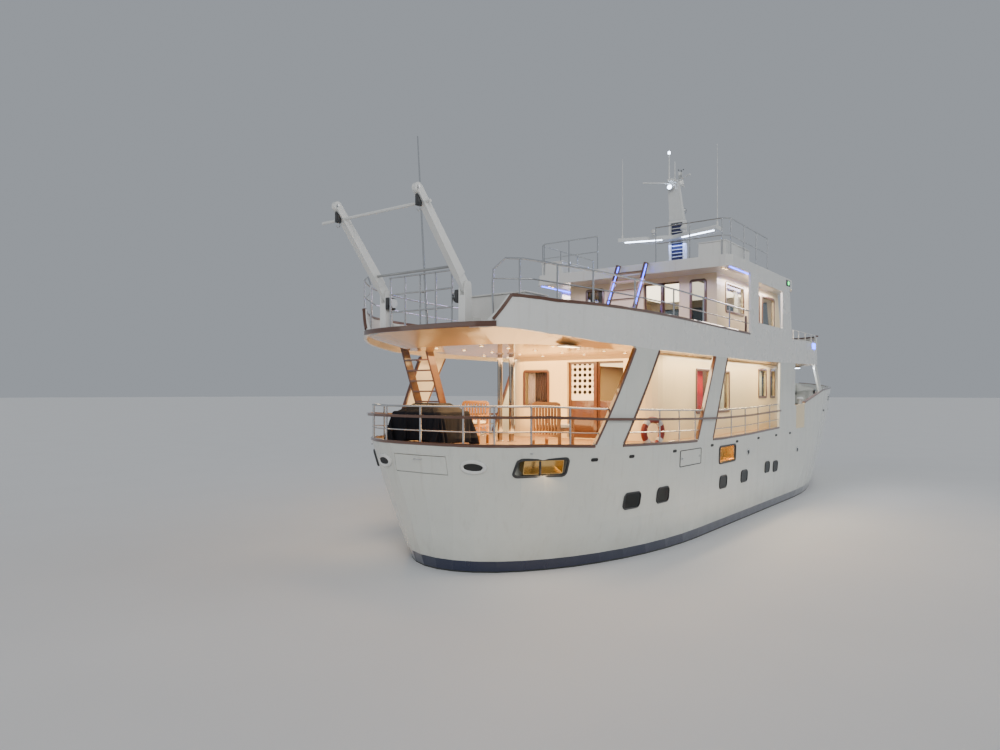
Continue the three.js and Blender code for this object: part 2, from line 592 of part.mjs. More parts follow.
// Upper house on the boat deck
const UPPER = { aft: -4000, fore: 2300, breadth: 2350, rake: 550 };
const UPPER_TOP = ROOF_UNDER_Z - GAP;
const UPPER_DOOR = { y: [-1250, -150], z: [BOAT_DECK_Z + 20, 6640] };
const UPPER_AFT_WINDOWS = { y: [[-2020, -1610], [1190, 1750]], z: [5050, 6600] };
const upperAft = box(
  [UPPER.aft, UPPER.aft + HOUSE_WALL], [-UPPER.breadth, UPPER.breadth], [BOAT_DECK_Z + GAP, UPPER_TOP],
);
add("upperhouse_aft", cut(
  upperAft,
  box([-FAR, 0], UPPER_DOOR.y, UPPER_DOOR.z),
  ...UPPER_AFT_WINDOWS.y.map((y) => box([-FAR, 0], y, UPPER_AFT_WINDOWS.z)),
), "cream");
const [upperFixedPlane, upperSlidingPlane] = leafPlanes(UPPER.aft);
const upperMiddle = (UPPER_DOOR.y[0] + UPPER_DOOR.y[1]) / 2;
const upperLeafZ = [BOAT_DECK_Z + GAP, 6680];
const upperLeaf = (plane, y) => makeLeaf(plane, y, upperLeafZ, 70);
add("upper_door_starboard", upperLeaf(upperSlidingPlane, [UPPER_DOOR.y[0] - 20, upperMiddle + 20]), "varnish");
add("upper_door_port", upperLeaf(upperFixedPlane, [upperMiddle - 20, UPPER_DOOR.y[1] + 20]), "varnish");

const upperFrontLine = [[UPPER.fore, BOAT_DECK_Z], [UPPER.fore - UPPER.rake, ROOF_UNDER_Z]];
// Side windows of the upper house: aft end, forward end, sill, head.
const UPPER_WINDOWS = [[-3300, -1800, 5780, 6580], [-1300, -300, 5600, 6550], [0, 1250, 5600, 6550]];
const WHEELHOUSE_PANES = { y: [-1530, -510, 510, 1530], half: 440, z: [5750, 6560] };
function makeUpperSide() {
  const aft = UPPER.aft + HOUSE_WALL + GAP;
  const outline = [
    [aft, BOAT_DECK_Z + GAP], [upperFrontLine[0][0] - HOUSE_WALL - GAP, BOAT_DECK_Z + GAP],
    [upperFrontLine[1][0] - HOUSE_WALL - GAP, UPPER_TOP], [aft, UPPER_TOP],
  ];
  const wall = acrossBoat(outline, -UPPER.breadth, -UPPER.breadth + HOUSE_WALL);
  return cut(wall, ...UPPER_WINDOWS.map(([x0, x1, z0, z1]) => box([x0, x1], [-FAR, 0], [z0, z1])));
}
addPair("upperhouse_side", makeUpperSide(), "cream");
function makeUpperFront() {
  const outline = [
    [upperFrontLine[0][0] - HOUSE_WALL, BOAT_DECK_Z + GAP], [upperFrontLine[0][0], BOAT_DECK_Z + GAP],
    [upperFrontLine[1][0], UPPER_TOP], [upperFrontLine[1][0] - HOUSE_WALL, UPPER_TOP],
  ];
  const wall = acrossBoat(outline, -UPPER.breadth, UPPER.breadth);
  const { y: middles, half, z } = WHEELHOUSE_PANES;
  const panes = middles.map((y) => box([0, FAR], [y - half, y + half], z));
  return cut(wall, ...panes);
}
add("upperhouse_front", makeUpperFront(), "white");

// Outer side screens that carry the sun deck's edges
const sidePlateTopAt = (x) => heightOn(FASCIA_HEAD, x);
const upperSkin = plating(5050, 6900, 0, WALL);
const UPPER_SCREEN = { aft: -3400, footFore: 700, headFore: 400 };
const UPPER_SCREEN_OPENING = { x: [-2700, -350], z: [5450, 6600] };
const upperScreenOutline = [
  [UPPER_SCREEN.aft, sidePlateTopAt(UPPER_SCREEN.aft) + GAP],
  [UPPER_SCREEN.footFore, sidePlateTopAt(UPPER_SCREEN.footFore) + GAP],
  [UPPER_SCREEN.headFore, ROOF_UNDER_Z - GAP], [UPPER_SCREEN.aft, ROOF_UNDER_Z - GAP],
];
const upperScreen = meet(meet(upperSkin, acrossBoat(upperScreenOutline)), starboardHalf);
const upperOpening = box(UPPER_SCREEN_OPENING.x, [-FAR, 0], UPPER_SCREEN_OPENING.z);
addPair("upper_screen", cut(upperScreen, upperOpening), "white");

// Sun deck roof with the lockers on its after corners
const ROOF = { aft: -4900, corner: 700, tip: 2400, breadth: 3060 };
const ROOF_LOCKER = { x: [-4800, -2900], y: [-2880, -2140], top: 7450 };
function makeRoof() {
  const outline = [
    [ROOF.aft, -ROOF.breadth + 150], [ROOF.aft + 150, -ROOF.breadth],
    ...frontArc(ROOF.corner, ROOF.tip, ROOF.breadth),
    [ROOF.aft + 150, ROOF.breadth], [ROOF.aft, ROOF.breadth - 150],
  ];
  const slab = upright(outline, ROOF_UNDER_Z, ROOF_Z);
  const locker = box(ROOF_LOCKER.x, ROOF_LOCKER.y, [ROOF_Z - 10, ROOF_LOCKER.top]);
  return join(slab, locker, mirrored(locker), pad(600, 250, 250, ROOF_Z));
}
add("sun_deck", makeRoof(), "white");

// Mast: raked box with a swept yard, a platform for the scanner and two short poles
// Sections of the column: height, middle along the boat, half depth, half width.
const MAST_SECTIONS = [
  [ROOF_Z + GAP, -1120, 100, 270], [9050, -1170, 100, 270], [9110, -1190, 100, 235], [10300, -1500, 90, 165],
];
const MAST_HEAD = { x: -1500, z: 10300 };
const YARD = { z: 10220, reach: [-600, 800], radius: 26 };
// Poles: place along, place across, top, radius.
const POLES = [[-1700, 60, 11250, 26], [-1530, -60, 10900, 22]];
const LADDER_RECESS = { y: [-205, 205], z: [7350, 9000], depth: 70 };
const SCANNER = { x: -960, z: 10440, reach: 470, turn: 0.4 };
function makeMast() {
  const section = ([z, x, halfX, halfY]) => [[-1, -1], [1, -1], [1, 1], [-1, 1]]
    .map(([u, v]) => [x + u * halfX, v * halfY, z]);
  const recess = box([-FAR, -1250 + LADDER_RECESS.depth], LADDER_RECESS.y, LADDER_RECESS.z);
  const column = cut(loft(MAST_SECTIONS.map(section)), recess);
  const arms = [-1, 1].map((side) => rod(
    [MAST_HEAD.x, 0, YARD.z], [MAST_HEAD.x + YARD.reach[0], side * YARD.reach[1], YARD.z], YARD.radius, 8,
  ));
  const platform = box([MAST_HEAD.x - 280, SCANNER.x + 130], [-90, 90], [MAST_HEAD.z - 60, MAST_HEAD.z]);
  const pedestal = rod([SCANNER.x, 0, MAST_HEAD.z - 10], [SCANNER.x, 0, SCANNER.z - 8], 120, 16, 95);
  const poles = POLES.map(([x, y, top, radius]) => (
    rod([x, y, MAST_HEAD.z - 10], [x, y, top], radius, 8, radius / 2)
  ));
  return join(column, ...arms, platform, pedestal, ...poles);
}
add("mast", makeMast(), "white");

function makeScanner() {
  const bar = turnedBox([2 * SCANNER.reach, 110, 90], [SCANNER.x, 0, SCANNER.z + 85], [0, 0, SCANNER.turn]);
  const hub = rod([SCANNER.x, 0, SCANNER.z - 7.5], [SCANNER.x, 0, SCANNER.z + 60], 65, 16);
  return join(bar, hub);
}
add("radar_scanner", makeScanner(), "white");

const WING = { z: [8420, 8540], tipY: 1650 };
const wingOutline = [
  [-1560, 0], [-2150, -WING.tipY], [-1600, -WING.tipY], [-820, 0], [-1600, WING.tipY], [-2150, WING.tipY],
];
const [, , mastHalfX, mastHalfY] = MAST_SECTIONS[0];
const mastAtWing = heightOn(MAST_SECTIONS.map(([z, x]) => [z, x]), WING.z[0]);
const wingHole = box(
  [mastAtWing - mastHalfX - 5, mastAtWing + mastHalfX + GAP], [-mastHalfY - GAP, mastHalfY + GAP], [0, FAR],
);
add("mast_wing", cut(upright(wingOutline, ...WING.z), wingHole), "white");

// Davits: one hinged frame of two arms tied by a spreader
const DAVIT_HEAD = { x: -14490, z: 6940 };
const ARM = { rootHalf: 100, headHalf: 70, thickFrom: 260, sheaveR: 95, sheaveHalf: 40 };
const SPREADER = { fromHead: 260, y: [-1180, 1630], radius: 30 };
function makeDavitFrame() {
  const reach = Math.hypot(DAVIT_HEAD.x - DAVIT.x, DAVIT_HEAD.z - DAVIT.z);
  const lean = Math.atan2(DAVIT_HEAD.z - DAVIT.z, DAVIT_HEAD.x - DAVIT.x);
  // A place in the arm's own plane: along the arm, then off its middle line.
  const onArm = (along, off) => [
    DAVIT.x + along * Math.cos(lean) - off * Math.sin(lean),
    DAVIT.z + along * Math.sin(lean) + off * Math.cos(lean),
  ];
  const halfAt = (along) => ARM.rootHalf + ((ARM.headHalf - ARM.rootHalf) * along) / reach;
  const stretch = (from, to) => [
    onArm(from, halfAt(from)), onArm(from, -halfAt(from)), onArm(to, -halfAt(to)), onArm(to, halfAt(to)),
  ];
  const across = (x, z, y, half, radius, sides) => rod([x, y - half, z], [x, y + half, z], radius, sides);
  const arms = [-1, 1].map((side) => {
    const y = side * DAVIT.y;
    const tongue = acrossBoat(stretch(0, ARM.thickFrom + 10), y - DAVIT.eyeHalf, y + DAVIT.eyeHalf);
    const arm = acrossBoat(stretch(ARM.thickFrom, reach), y - DAVIT.armHalf, y + DAVIT.armHalf);
    const eye = across(DAVIT.x, DAVIT.z, y, DAVIT.eyeHalf, ARM.rootHalf, 16);
    const pin = across(DAVIT.x, DAVIT.z, y, DAVIT.half, PIN_R, PIN_SIDES);
    const sheave = across(DAVIT_HEAD.x, DAVIT_HEAD.z, y, ARM.sheaveHalf, ARM.sheaveR, 12);
    return join(tongue, arm, eye, pin, sheave);
  });
  const [x, z] = onArm(reach - SPREADER.fromHead, 0);
  const spreader = rod([x, SPREADER.y[0], z], [x, SPREADER.y[1], z], SPREADER.radius, 8);
  return join(arms[0], arms[1], spreader);
}
add("davit_frame", makeDavitFrame(), "white");

// Rails of the main deck
const CAP_RAIL = { height: 52, width: 56 };
const TOP_RAIL_R = 20;
const MIDDLE_RAIL_R = 13;
const POST_R = 19;
const POST_INSET = POST_R + 8;
const [fashionRoom, pillarRoom] = screenOutlines.map(screenRoom);

// Points of the plan from the port side round the stern to starboard, aft of a place along the boat.
function sternPath(rise, foreEnd) {
  const round = ring(SILL_Z, POST_INSET).filter(([x]) => x < foreEnd - 100);
  const breadth = breadthAt(foreEnd, SILL_Z) - POST_INSET;
  return [[foreEnd, breadth], ...round, [foreEnd, -breadth]].map(([x, y]) => [x, y, sillAt(x) + rise]);
}

// Where the line of the stern's posts crosses a place across the boat.
function sternAt(y) {
  const round = ring(SILL_Z, POST_INSET).filter(([x]) => x < -11000);
  const after = round.findIndex((point) => point[1] <= y);
  const [x0, y0] = round[after - 1];
  const [x1, y1] = round[after];
  return x0 + ((x1 - x0) * (y - y0)) / (y1 - y0);
}

const post = (x, y) => rod([x, y, sillAt(x) - 20], [x, y, sillAt(x) + RAIL_RISE.top], POST_R, 8);
const sidePost = (x, side) => post(x, side * (breadthAt(x, SILL_Z) - POST_INSET));

const STERN_POST_X = [-11900, -12600, -13050];
const TRANSOM_POST_Y = [-1000, 0, 1000];
function makeSternRail() {
  const top = tube(sternPath(RAIL_RISE.top, -10780), TOP_RAIL_R, 36);
  const middle = tube(sternPath(RAIL_RISE.middle, -11120), MIDDLE_RAIL_R, 36, 6);
  const posts = STERN_POST_X.flatMap((x) => [-1, 1].map((side) => sidePost(x, side)));
  const transomPosts = TRANSOM_POST_Y.map((y) => post(sternAt(y), y));
  return cut(join(top, middle, ...posts, ...transomPosts), fashionRoom, belowSill);
}
add("stern_rail", makeSternRail(), "steel");

// Varnished rail outside the posts and screens
const capBand = cut(below(SILL_LINE, RAIL_RISE.cap + CAP_RAIL.height), below(SILL_LINE, RAIL_RISE.cap));
const capSkin = plating(2700, 3150, -CAP_RAIL.width, CAP_RAIL.width - 2 * GAP);
add("cap_rail", meet(meet(capSkin, capBand), box([-FAR, SCREEN_FORWARD[0]], [-FAR, FAR], [0, FAR])), "varnish");

// Side rails in the openings: name, ends of the top rail, ends of the middle rail, places of the posts.
const SIDE_RAILS = [
  ["side_rail_aft", [-10000, -6600], [-10400, -6900], [-9100, -8150, -7250]],
  ["side_rail_fore", [-5790, SCREEN_FORWARD[0]], [-6040, SCREEN_FORWARD[0]], [-4800, -3700, -2600, -1500]],
];
for (const [name, topEnds, middleEnds, postPlaces] of SIDE_RAILS) {
  const railAlong = ([aft, fore], rise) => [0, 0.25, 0.5, 0.75, 1].map((share) => {
    const x = aft + (fore - aft) * share;
    return [x, -(breadthAt(x, SILL_Z) - POST_INSET), sillAt(x) + rise];
  });
  const top = tube(railAlong(topEnds, RAIL_RISE.top), TOP_RAIL_R, 8);
  const middle = tube(railAlong(middleEnds, RAIL_RISE.middle), MIDDLE_RAIL_R, 8, 6);
  const posts = postPlaces.map((x) => sidePost(x, -1));
  const rail = cut(join(top, middle, ...posts), fashionRoom, pillarRoom, belowSill, mirrored(starboardHalf));
  addPair(name, cut(rail, box([SCREEN_FORWARD[0] - GAP, FAR], [-FAR, 0], [0, FAR])), "steel");
}

// Rails of the boat deck: the top bar bends down to the deck abaft the side plate.
const BOAT_RAIL_LINE = [[-FAR, 5890], [-12900, 5870], [-12300, 5800], [-11000, 5750], [FAR, 5600]];
const BOAT_RAIL_X = [-12900, -12300, -11500, -10200, -8500, -6800, -5000, -3460];
const BOAT_RAIL_BEND = { x: -13112, y: -1600 };
const BOAT_RAIL_DROP = 340; // from the top bar to the middle one
function makeBoatRail() {
  const place = (x, drop) => [x, -(breadthAt(x, BOAT_DECK_Z) - WALL / 2), heightOn(BOAT_RAIL_LINE, x) - drop];
  const { x: endX, y: endY } = BOAT_RAIL_BEND;
  const bend = [[endX, endY, BOAT_DECK_Z + GAP], [endX, endY, 5700], [endX + 60, endY - 70, 5860]];
  const top = tube([...bend, ...BOAT_RAIL_X.map((x) => place(x, 0))], TOP_RAIL_R, 34);
  const middle = tube([[endX, endY, 5530], ...BOAT_RAIL_X.map((x) => place(x, BOAT_RAIL_DROP))], 14, 14, 6);
  const uprights = BOAT_RAIL_X.slice(0, -1).map((x) => {
    const [, y, z] = place(x, 0);
    return rod([x, y, sidePlateTopAt(x) - 30], [x, y, z], POST_R, 8);
  });
  const plateHead = FASCIA_HEAD.slice(0, -1).map(([x, z]) => [x, z + GAP]);
  const plateRoom = acrossBoat([...plateHead, [-13000, BOAT_DECK_Z + 100], [3800, BOAT_DECK_Z + 100]]);
  return join(top, cut(join(middle, ...uprights), plateRoom));
}
addPair("boat_rail", makeBoatRail(), "steel");

// Rail across the stern of the boat deck, with the ensign staff on a bracket
const AFT_RAIL = { x: -13330, half: 820, bars: [5730, 5400, 5050], posts: [-800, -400, 0, 400, 800] };
const STAFF = { foot: [-13130, 0, BOAT_DECK_Z + GAP], head: [-13400, 0, 8350], radius: 26 };
function makeAftRail() {
  const { x, half, bars, posts } = AFT_RAIL;
  const rails = bars.map((z) => rod([x, -half, z], [x, half, z], 16, 8));
  const uprights = posts.map((y) => rod([x, y, BOAT_DECK_Z + GAP], [x, y, bars[0]], POST_R, 8));
  const staff = rod(STAFF.foot, STAFF.head, STAFF.radius, 8, STAFF.radius / 2);
  const bracket = rod([x, 0, bars[1]], [STAFF.foot[0] - 40, 0, bars[1]], 16, 8);
  const belowDeck = box([-FAR, FAR], [-FAR, FAR], [0, BOAT_DECK_Z + GAP]);
  return cut(join(...rails, ...uprights, staff, bracket), belowDeck);
}
add("aft_rail", makeAftRail(), "steel");

// Rails of the sun deck: plan of the bars, places of the posts, heights of the bars
const ROOF_RAIL_PLAN = [[-1500, -2960], [-4650, -2960], [-4820, -2790], [-4820, -900]];
const ROOF_RAIL_POSTS = [
  [-1500, -2960], [-2550, -2960], [-3600, -2960], [-4650, -2960], [-4820, -2790], [-4820, -1900],
];
const ROOF_RAIL_BARS = [[8050, 18], [7600, 14]]; // height, radius
function makeRoofRail() {
  const bars = ROOF_RAIL_BARS.flatMap(([z, radius]) => (
    ROOF_RAIL_PLAN.slice(1).map((point, i) => rod([...ROOF_RAIL_PLAN[i], z], [...point, z], radius, 8))
  ));
  const endPost = [ROOF_RAIL_PLAN.at(-1)[0], ROOF_RAIL_PLAN.at(-1)[1] - 20];
  const uprights = [...ROOF_RAIL_POSTS, endPost].map(([x, y]) => (
    rod([x, y, ROOF_Z + GAP], [x, y, ROOF_RAIL_BARS[0][0]], POST_R, 8)
  ));
  return join(...bars, ...uprights);
}
addPair("sun_deck_rail", makeRoofRail(), "steel");

// Stairs: stringers with treads between them. The foot and head are x, z of the slope's middle line.
const STRINGER = { half: 110, thick: 45 };
const TREAD_HALF = 18;
function makeStairs({ foot, head, y, width, treads }) {
  const { half, thick } = STRINGER;
  const outline = [
    [foot[0] - half, foot[1]], [foot[0] + half, foot[1]], [head[0] + half, head[1]], [head[0] - half, head[1]],
  ];
  const sides = [y - width / 2, y + width / 2 - thick].map((y0) => acrossBoat(outline, y0, y0 + thick));
  const steps = Array.from({ length: treads }, (_, i) => {
    const share = (i + 1) / (treads + 1);
    const x = foot[0] + (head[0] - foot[0]) * share;
    const z = foot[1] + (head[1] - foot[1]) * share;
    const across = [y - width / 2 + 5, y + width / 2 - 5];
    return box([x - half, x + half], across, [z - TREAD_HALF, z + TREAD_HALF]);
  });
  return join(...sides, ...steps);
}
add("aft_stairs", makeStairs({
  foot: [-10500, DECK_Z + GAP], head: [-11420, BOAT_DECK_Z - GAP], y: 2000, width: 800, treads: 9,
}), "varnish");
add("sun_deck_stairs", makeStairs({
  foot: [-6300, BOAT_DECK_Z + GAP], head: [-5020, ROOF_Z - GAP], y: -300, width: 900, treads: 8,
}), "varnish");

// Columns that carry the boat deck
const COLUMN = { x: -9600, radius: 60 };
for (const [side, y] of [["port", 900], ["starboard", 560]]) {
  const column = rod([COLUMN.x, y, DECK_Z + GAP], [COLUMN.x, y, CEILING_Z - GAP], COLUMN.radius, 16);
  add("column_" + side, column, "steel");
}

// A mound with a rounded square plan. Rows: half length, half breadth, height. Power below 1 squares the plan.
function mound(x, y, rows, power) {
  const round = (v) => Math.sign(v) * Math.abs(v) ** power;
  return loft(rows.map(([along, across, z]) => Array.from({ length: 16 }, (_, i) => {
    const angle = (i * Math.PI) / 8;
    return [x + along * round(Math.cos(angle)), y + across * round(Math.sin(angle)), z];
  })));
}

// Table under its cover on the aft deck
const TABLE = { x: -11900, y: 1030 };
const TABLE_ROWS = [
  [540, 770, DECK_Z + GAP], [570, 800, 2700], [530, 760, 3120], [360, 500, 3170], [340, 480, 3310],
];
add("covered_table", mound(TABLE.x, TABLE.y, TABLE_ROWS, 0.6), "cover");

// Deck chair with a slatted back
const CHAIR = {
  x: -11050, y: -1550, half: 340, seatZ: 2720, backZ: [2580, 3280], corner: 80, stile: 50, slots: 8,
};
function makeChair() {
  const { x, y, half, seatZ, backZ, corner, stile, slots } = CHAIR;
  const backOutline = [
    [-half, backZ[0]], [half, backZ[0]], [half, backZ[1] - corner],
    [half - 0.3 * corner, backZ[1] - 0.3 * corner], [half - corner, backZ[1]],
    [corner - half, backZ[1]], [0.3 * corner - half, backZ[1] - 0.3 * corner], [-half, backZ[1] - corner],
  ];
  const pitch = (2 * (half - stile)) / slots;
  const gaps = Array.from({ length: slots }, (_, i) => {
    const from = y - half + stile + i * pitch + 0.25 * pitch;
    return box([-FAR, FAR], [from, from + 0.5 * pitch], [backZ[0] + stile, backZ[1] - 1.4 * stile]);
  });
  const back = cut(alongBoat(backOutline.map(([u, z]) => [y + u, z]), x - 290, x - 250), ...gaps);
  const seat = box([x - 260, x + 260], [y - half, y + half], [seatZ - 25, seatZ + 25]);
  const legs = [-1, 1].map((side) => {
    const foot = y + side * (half - 25);
    return join(
      box([x - 285, x - 235], [foot - 25, foot + 25], [DECK_Z + GAP, seatZ + 40]),
      box([x + 210, x + 260], [foot - 25, foot + 25], [DECK_Z + GAP, seatZ + 230]),
      box([x - 285, x + 290], [foot - 30, foot + 30], [seatZ + 210, seatZ + 245]),
    );
  });
  return join(seat, back, ...legs);
}
add("deck_chair", makeChair(), "teak");

// Foredeck: windlass, hatch lid, covered locker
const foredeckTop = FOREDECK_Z + GAP;
// Windlass: half lengths, half breadths and tops of its bed and gear case; height and size of the drums.
const WINDLASS = { x: 10600, bed: [350, 300, 60], gear: [160, 180, 360], drumZ: 250, drumHalf: 430, drumR: 110 };
function makeWindlass() {
  const { x, bed, gear, drumZ, drumHalf, drumR } = WINDLASS;
  const block = ([along, across, height], from) => box(
    [x - along, x + along], [-across, across], [foredeckTop + from, foredeckTop + height],
  );
  const z = foredeckTop + drumZ;
  return join(block(bed, 0), block(gear, 50), rod([x, -drumHalf, z], [x, drumHalf, z], drumR, 16));
}
add("windlass", makeWindlass(), "steel");
add("foredeck_hatch", hatchLid, "white");
const FORE_LOCKER_ROWS = [
  [1000, 1250, foredeckTop], [980, 1225, foredeckTop + 520], [800, 1000, foredeckTop + 690],
  [450, 560, foredeckTop + 760],
];
add("foredeck_cover", mound(6300, 0, FORE_LOCKER_ROWS, 0.5), "cover");

// Propellers with their shafts, and rudders
const HUB_TAIL_R = 60;
// Sections of a blade: radius, half chord, pitch angle in radians, half thickness.
const BLADE_SECTIONS = [
  [60, 75, 0.95, 26], [180, 130, 0.75, 20], [290, 150, 0.55, 14], [370, 110, 0.42, 9], [410, 40, 0.38, 5],
];
function makeBlade() {
  const corners = [[-1, 0], [-0.5, -1], [0.5, -1], [1, 0], [0.5, 1], [-0.5, 1]];
  return loft(BLADE_SECTIONS.map(([radius, halfChord, pitch, halfThick]) => corners.map(([u, v]) => [
    u * halfChord * Math.cos(pitch) - v * halfThick * Math.sin(pitch),
    u * halfChord * Math.sin(pitch) + v * halfThick * Math.cos(pitch),
    radius,
  ])));
}
function makePropeller() {
  const hubEnds = [PROP_X + HUB_LENGTH / 2, PROP_X - HUB_LENGTH / 2];
  const onShaft = (fore, aft, radius, endRadius) => rod(
    [fore, -SHAFT_Y, SHAFT_Z], [aft, -SHAFT_Y, SHAFT_Z], radius, SHAFT_SIDES, endRadius,
  );
  const shaft = onShaft(STERN_TUBE_X[0] + SHAFT_SEAT, hubEnds[1], SHAFT_R, SHAFT_R);
  const hub = onShaft(...hubEnds, HUB_R, HUB_TAIL_R);
  const blades = Array.from({ length: BLADES }, (_, i) => (
    makeBlade().rotate([(i * 360) / BLADES, 0, 0]).translate([PROP_X, -SHAFT_Y, SHAFT_Z])
  ));
  return join(shaft, hub, ...blades);
}
addPair("propeller", makePropeller(), "bronze");

// Half of the rudder's plan: place from the stock, half thickness.
const RUDDER_PLAN = [[330, 0], [230, 45], [-60, 40], [-620, 8]];
function makeRudder() {
  const side = (sign) => RUDDER_PLAN.map(([x, half]) => [RUDDER_STOCK_X + x, -SHAFT_Y + sign * half]);
  const plan = [...side(1), ...side(-1).slice(1).reverse()];
  const blade = upright(plan, RUDDER_FOOT_Z, RUDDER_TOP_Z - 60);
  const stock = rod(
    [RUDDER_STOCK_X, -SHAFT_Y, RUDDER_FOOT_Z + 100], [RUDDER_STOCK_X, -SHAFT_Y, RUDDER_TOP_Z - GAP], 40, 12,
  );
  return join(blade, stock);
}
addPair("rudder", makeRudder(), "bronze");

export default root;
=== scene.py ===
"""Motor yacht with its finishes and fittings, laid out as an add-on and run as a script."""
import json
import math

import bpy
from mathutils import Matrix, Vector


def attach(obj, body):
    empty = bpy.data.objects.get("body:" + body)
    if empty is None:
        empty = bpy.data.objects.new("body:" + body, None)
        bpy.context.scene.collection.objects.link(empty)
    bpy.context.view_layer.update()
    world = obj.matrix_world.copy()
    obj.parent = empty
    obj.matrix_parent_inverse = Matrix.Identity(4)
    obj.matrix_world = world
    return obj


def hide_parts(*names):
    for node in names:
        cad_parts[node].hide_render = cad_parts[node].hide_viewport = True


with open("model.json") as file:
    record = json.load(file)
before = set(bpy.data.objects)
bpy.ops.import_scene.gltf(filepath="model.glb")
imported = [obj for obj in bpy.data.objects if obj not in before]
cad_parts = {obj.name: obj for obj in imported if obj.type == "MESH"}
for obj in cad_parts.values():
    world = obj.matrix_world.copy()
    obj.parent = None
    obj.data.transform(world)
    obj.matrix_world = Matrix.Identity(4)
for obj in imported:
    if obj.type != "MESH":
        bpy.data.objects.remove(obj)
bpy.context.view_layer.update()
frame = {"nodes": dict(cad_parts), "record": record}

bl_info = {
    "name": "Motor yacht",
    "version": (1, 0, 0),
    "blender": (4, 5, 0),
    "location": "View3D > Sidebar > Yacht",
    "description": "Finishes, glazing, trims and fittings of a motor yacht",
    "category": "Object",
}

# Camera, fitted to the decks and rails: metres, and pixels of the image
CAMERA_AT = (-23.4, -9.5, 3.46)
CAMERA_HEADING = math.radians(37.0)
FOCAL_PIXELS = 720.0
HORIZON_ROW = 393.0
IMAGE_WIDTH = 1000.0
IMAGE_HEIGHT = 750.0
SENSOR_WIDTH = 36.0

# Directions
FORWARD = Vector((1, 0, 0))
PORT = Vector((0, 1, 0))
UP = Vector((0, 0, 1))
SIDES = (-1, 1)
NAMED_SIDES = (("starboard", -1), ("port", 1))

# Heights of the decks and of what is over them
DECK_Z = 2.3
FOREDECK_Z = 2.95
CEILING_Z = 4.4
BOAT_DECK_Z = 4.7
ROOF_UNDER_Z = 6.78
ROOF_Z = 7.08
WING_TOP_Z = 8.538

# Thickness of the coaming, screens and bulwarks
WALL = 0.06

# Plan of the hull at each height. Columns: height, stern end, where the stern curve meets the straight side,
# half-breadth, fullness of the stern curve, where the bow curve starts, stem, fullness of the bow curve.
HULL_PLAN = [
    (-1.45, -6.2, -2.0, 0.45, 2.0, -1.0, 7.8, 1.5),
    (-1.15, -8.4, -3.5, 1.9, 2.0, 0.0, 9.4, 1.6),
    (-0.75, -9.8, -4.8, 2.48, 2.0, 0.5, 10.5, 1.7),
    (-0.35, -12.2, -6.2, 2.78, 2.0, 1.0, 11.3, 1.8),
    (0.0, -12.85, -6.8, 2.9, 2.0, 1.5, 11.75, 1.9),
    (0.9, -13.05, -6.8, 2.98, 2.4, 2.4, 12.15, 2.0),
    (1.6, -13.2, -6.8, 3.02, 2.7, 3.0, 12.45, 2.1),
    (2.45, -13.35, -6.8, 3.05, 3.1, 3.6, 12.75, 2.2),
    (4.7, -13.45, -6.8, 3.08, 3.4, 4.6, 13.35, 2.4),
    (5.6, -13.45, -6.8, 3.08, 3.4, 4.6, 13.35, 2.4),
]

# Lines seen from the side: place along the boat and height
SILL_LINE = [
    (-20.0, 2.515), (-12.4, 2.51), (-11.3, 2.455), (-9.2, 2.4), (-7.2, 2.355), (-5.5, 2.33), (-3.5, 2.345),
    (-1.5, 2.395), (0.0, 2.43), (20.0, 2.43),
]
PLATE_HEAD = [(-13.19, 4.78), (-13.0, 5.225), (-12.3, 5.15), (-8.0, 5.14), (-3.4, 5.1), (3.8, 5.26)]
BOW_RAIL_LINE = [(2.33, 3.13), (4.9, 3.57), (9.0, 3.72), (12.9, 3.93), (14.0, 3.98)]

# Raked edges of the screens: places along the boat at the two heights
SCREEN_EDGES = [(-11.35, -10.2), (-10.5, -9.2), (-7.1, -6.05), (-6.1, -5.2)]
EDGE_FOOT_Z = 2.45
EDGE_HEAD_Z = 4.365

# Teak planks laid on the decks
LAID_TEAK = (0.43, 0.27, 0.13)
# Frames behind the hull's plating, and the diamonds etched in the saloon door's glass
FRAME_PITCH = 0.55
DIAMOND_SIZE = 0.145
DIAMONDS_FOOT_Z = 3.42

# Suns of the studio: name, place, where it points, power, width in degrees
STUDIO_LIGHTS = (
    ("key", (-30, -26, 22), (-4, 0, 3), 1.15, 28),
    ("fill", (-34, 14, 12), (-6, 0, 3), 0.4, 50),
    ("rim", (22, -20, 18), (2, 0, 3), 0.55, 40),
)

# Raked front of the upper house
UPPER_FRONT_X = 2.3
UPPER_RAKE = 0.55 / 2.08
UPPER_PANES_Y = (-1.53, -0.51, 0.51, 1.53)

# Material slots of the CAD nodes that the finishes stand for
FINISH_SLOTS = {
    "hull_paint": "hull_paint", "white_paint": "white_paint", "deck_paint": "white_paint",
    "roof_paint": "white_paint", "cream_paint": "cream_paint", "varnish": "varnished_wood",
    "steel": "stainless_steel", "bronze": "bronze", "cover_cloth": "cover_cloth", "teak": "teak",
}
# CAD nodes whose finish isn't their slot's usual one
SPECIAL_FINISHES = {
    "boat_deck": "deck_paint", "sun_deck": "roof_paint", "bow_anchor": "galvanised",
    "column_starboard": "steel_painted_warm_reflection", "column_port": "steel_painted_warm_reflection",
}


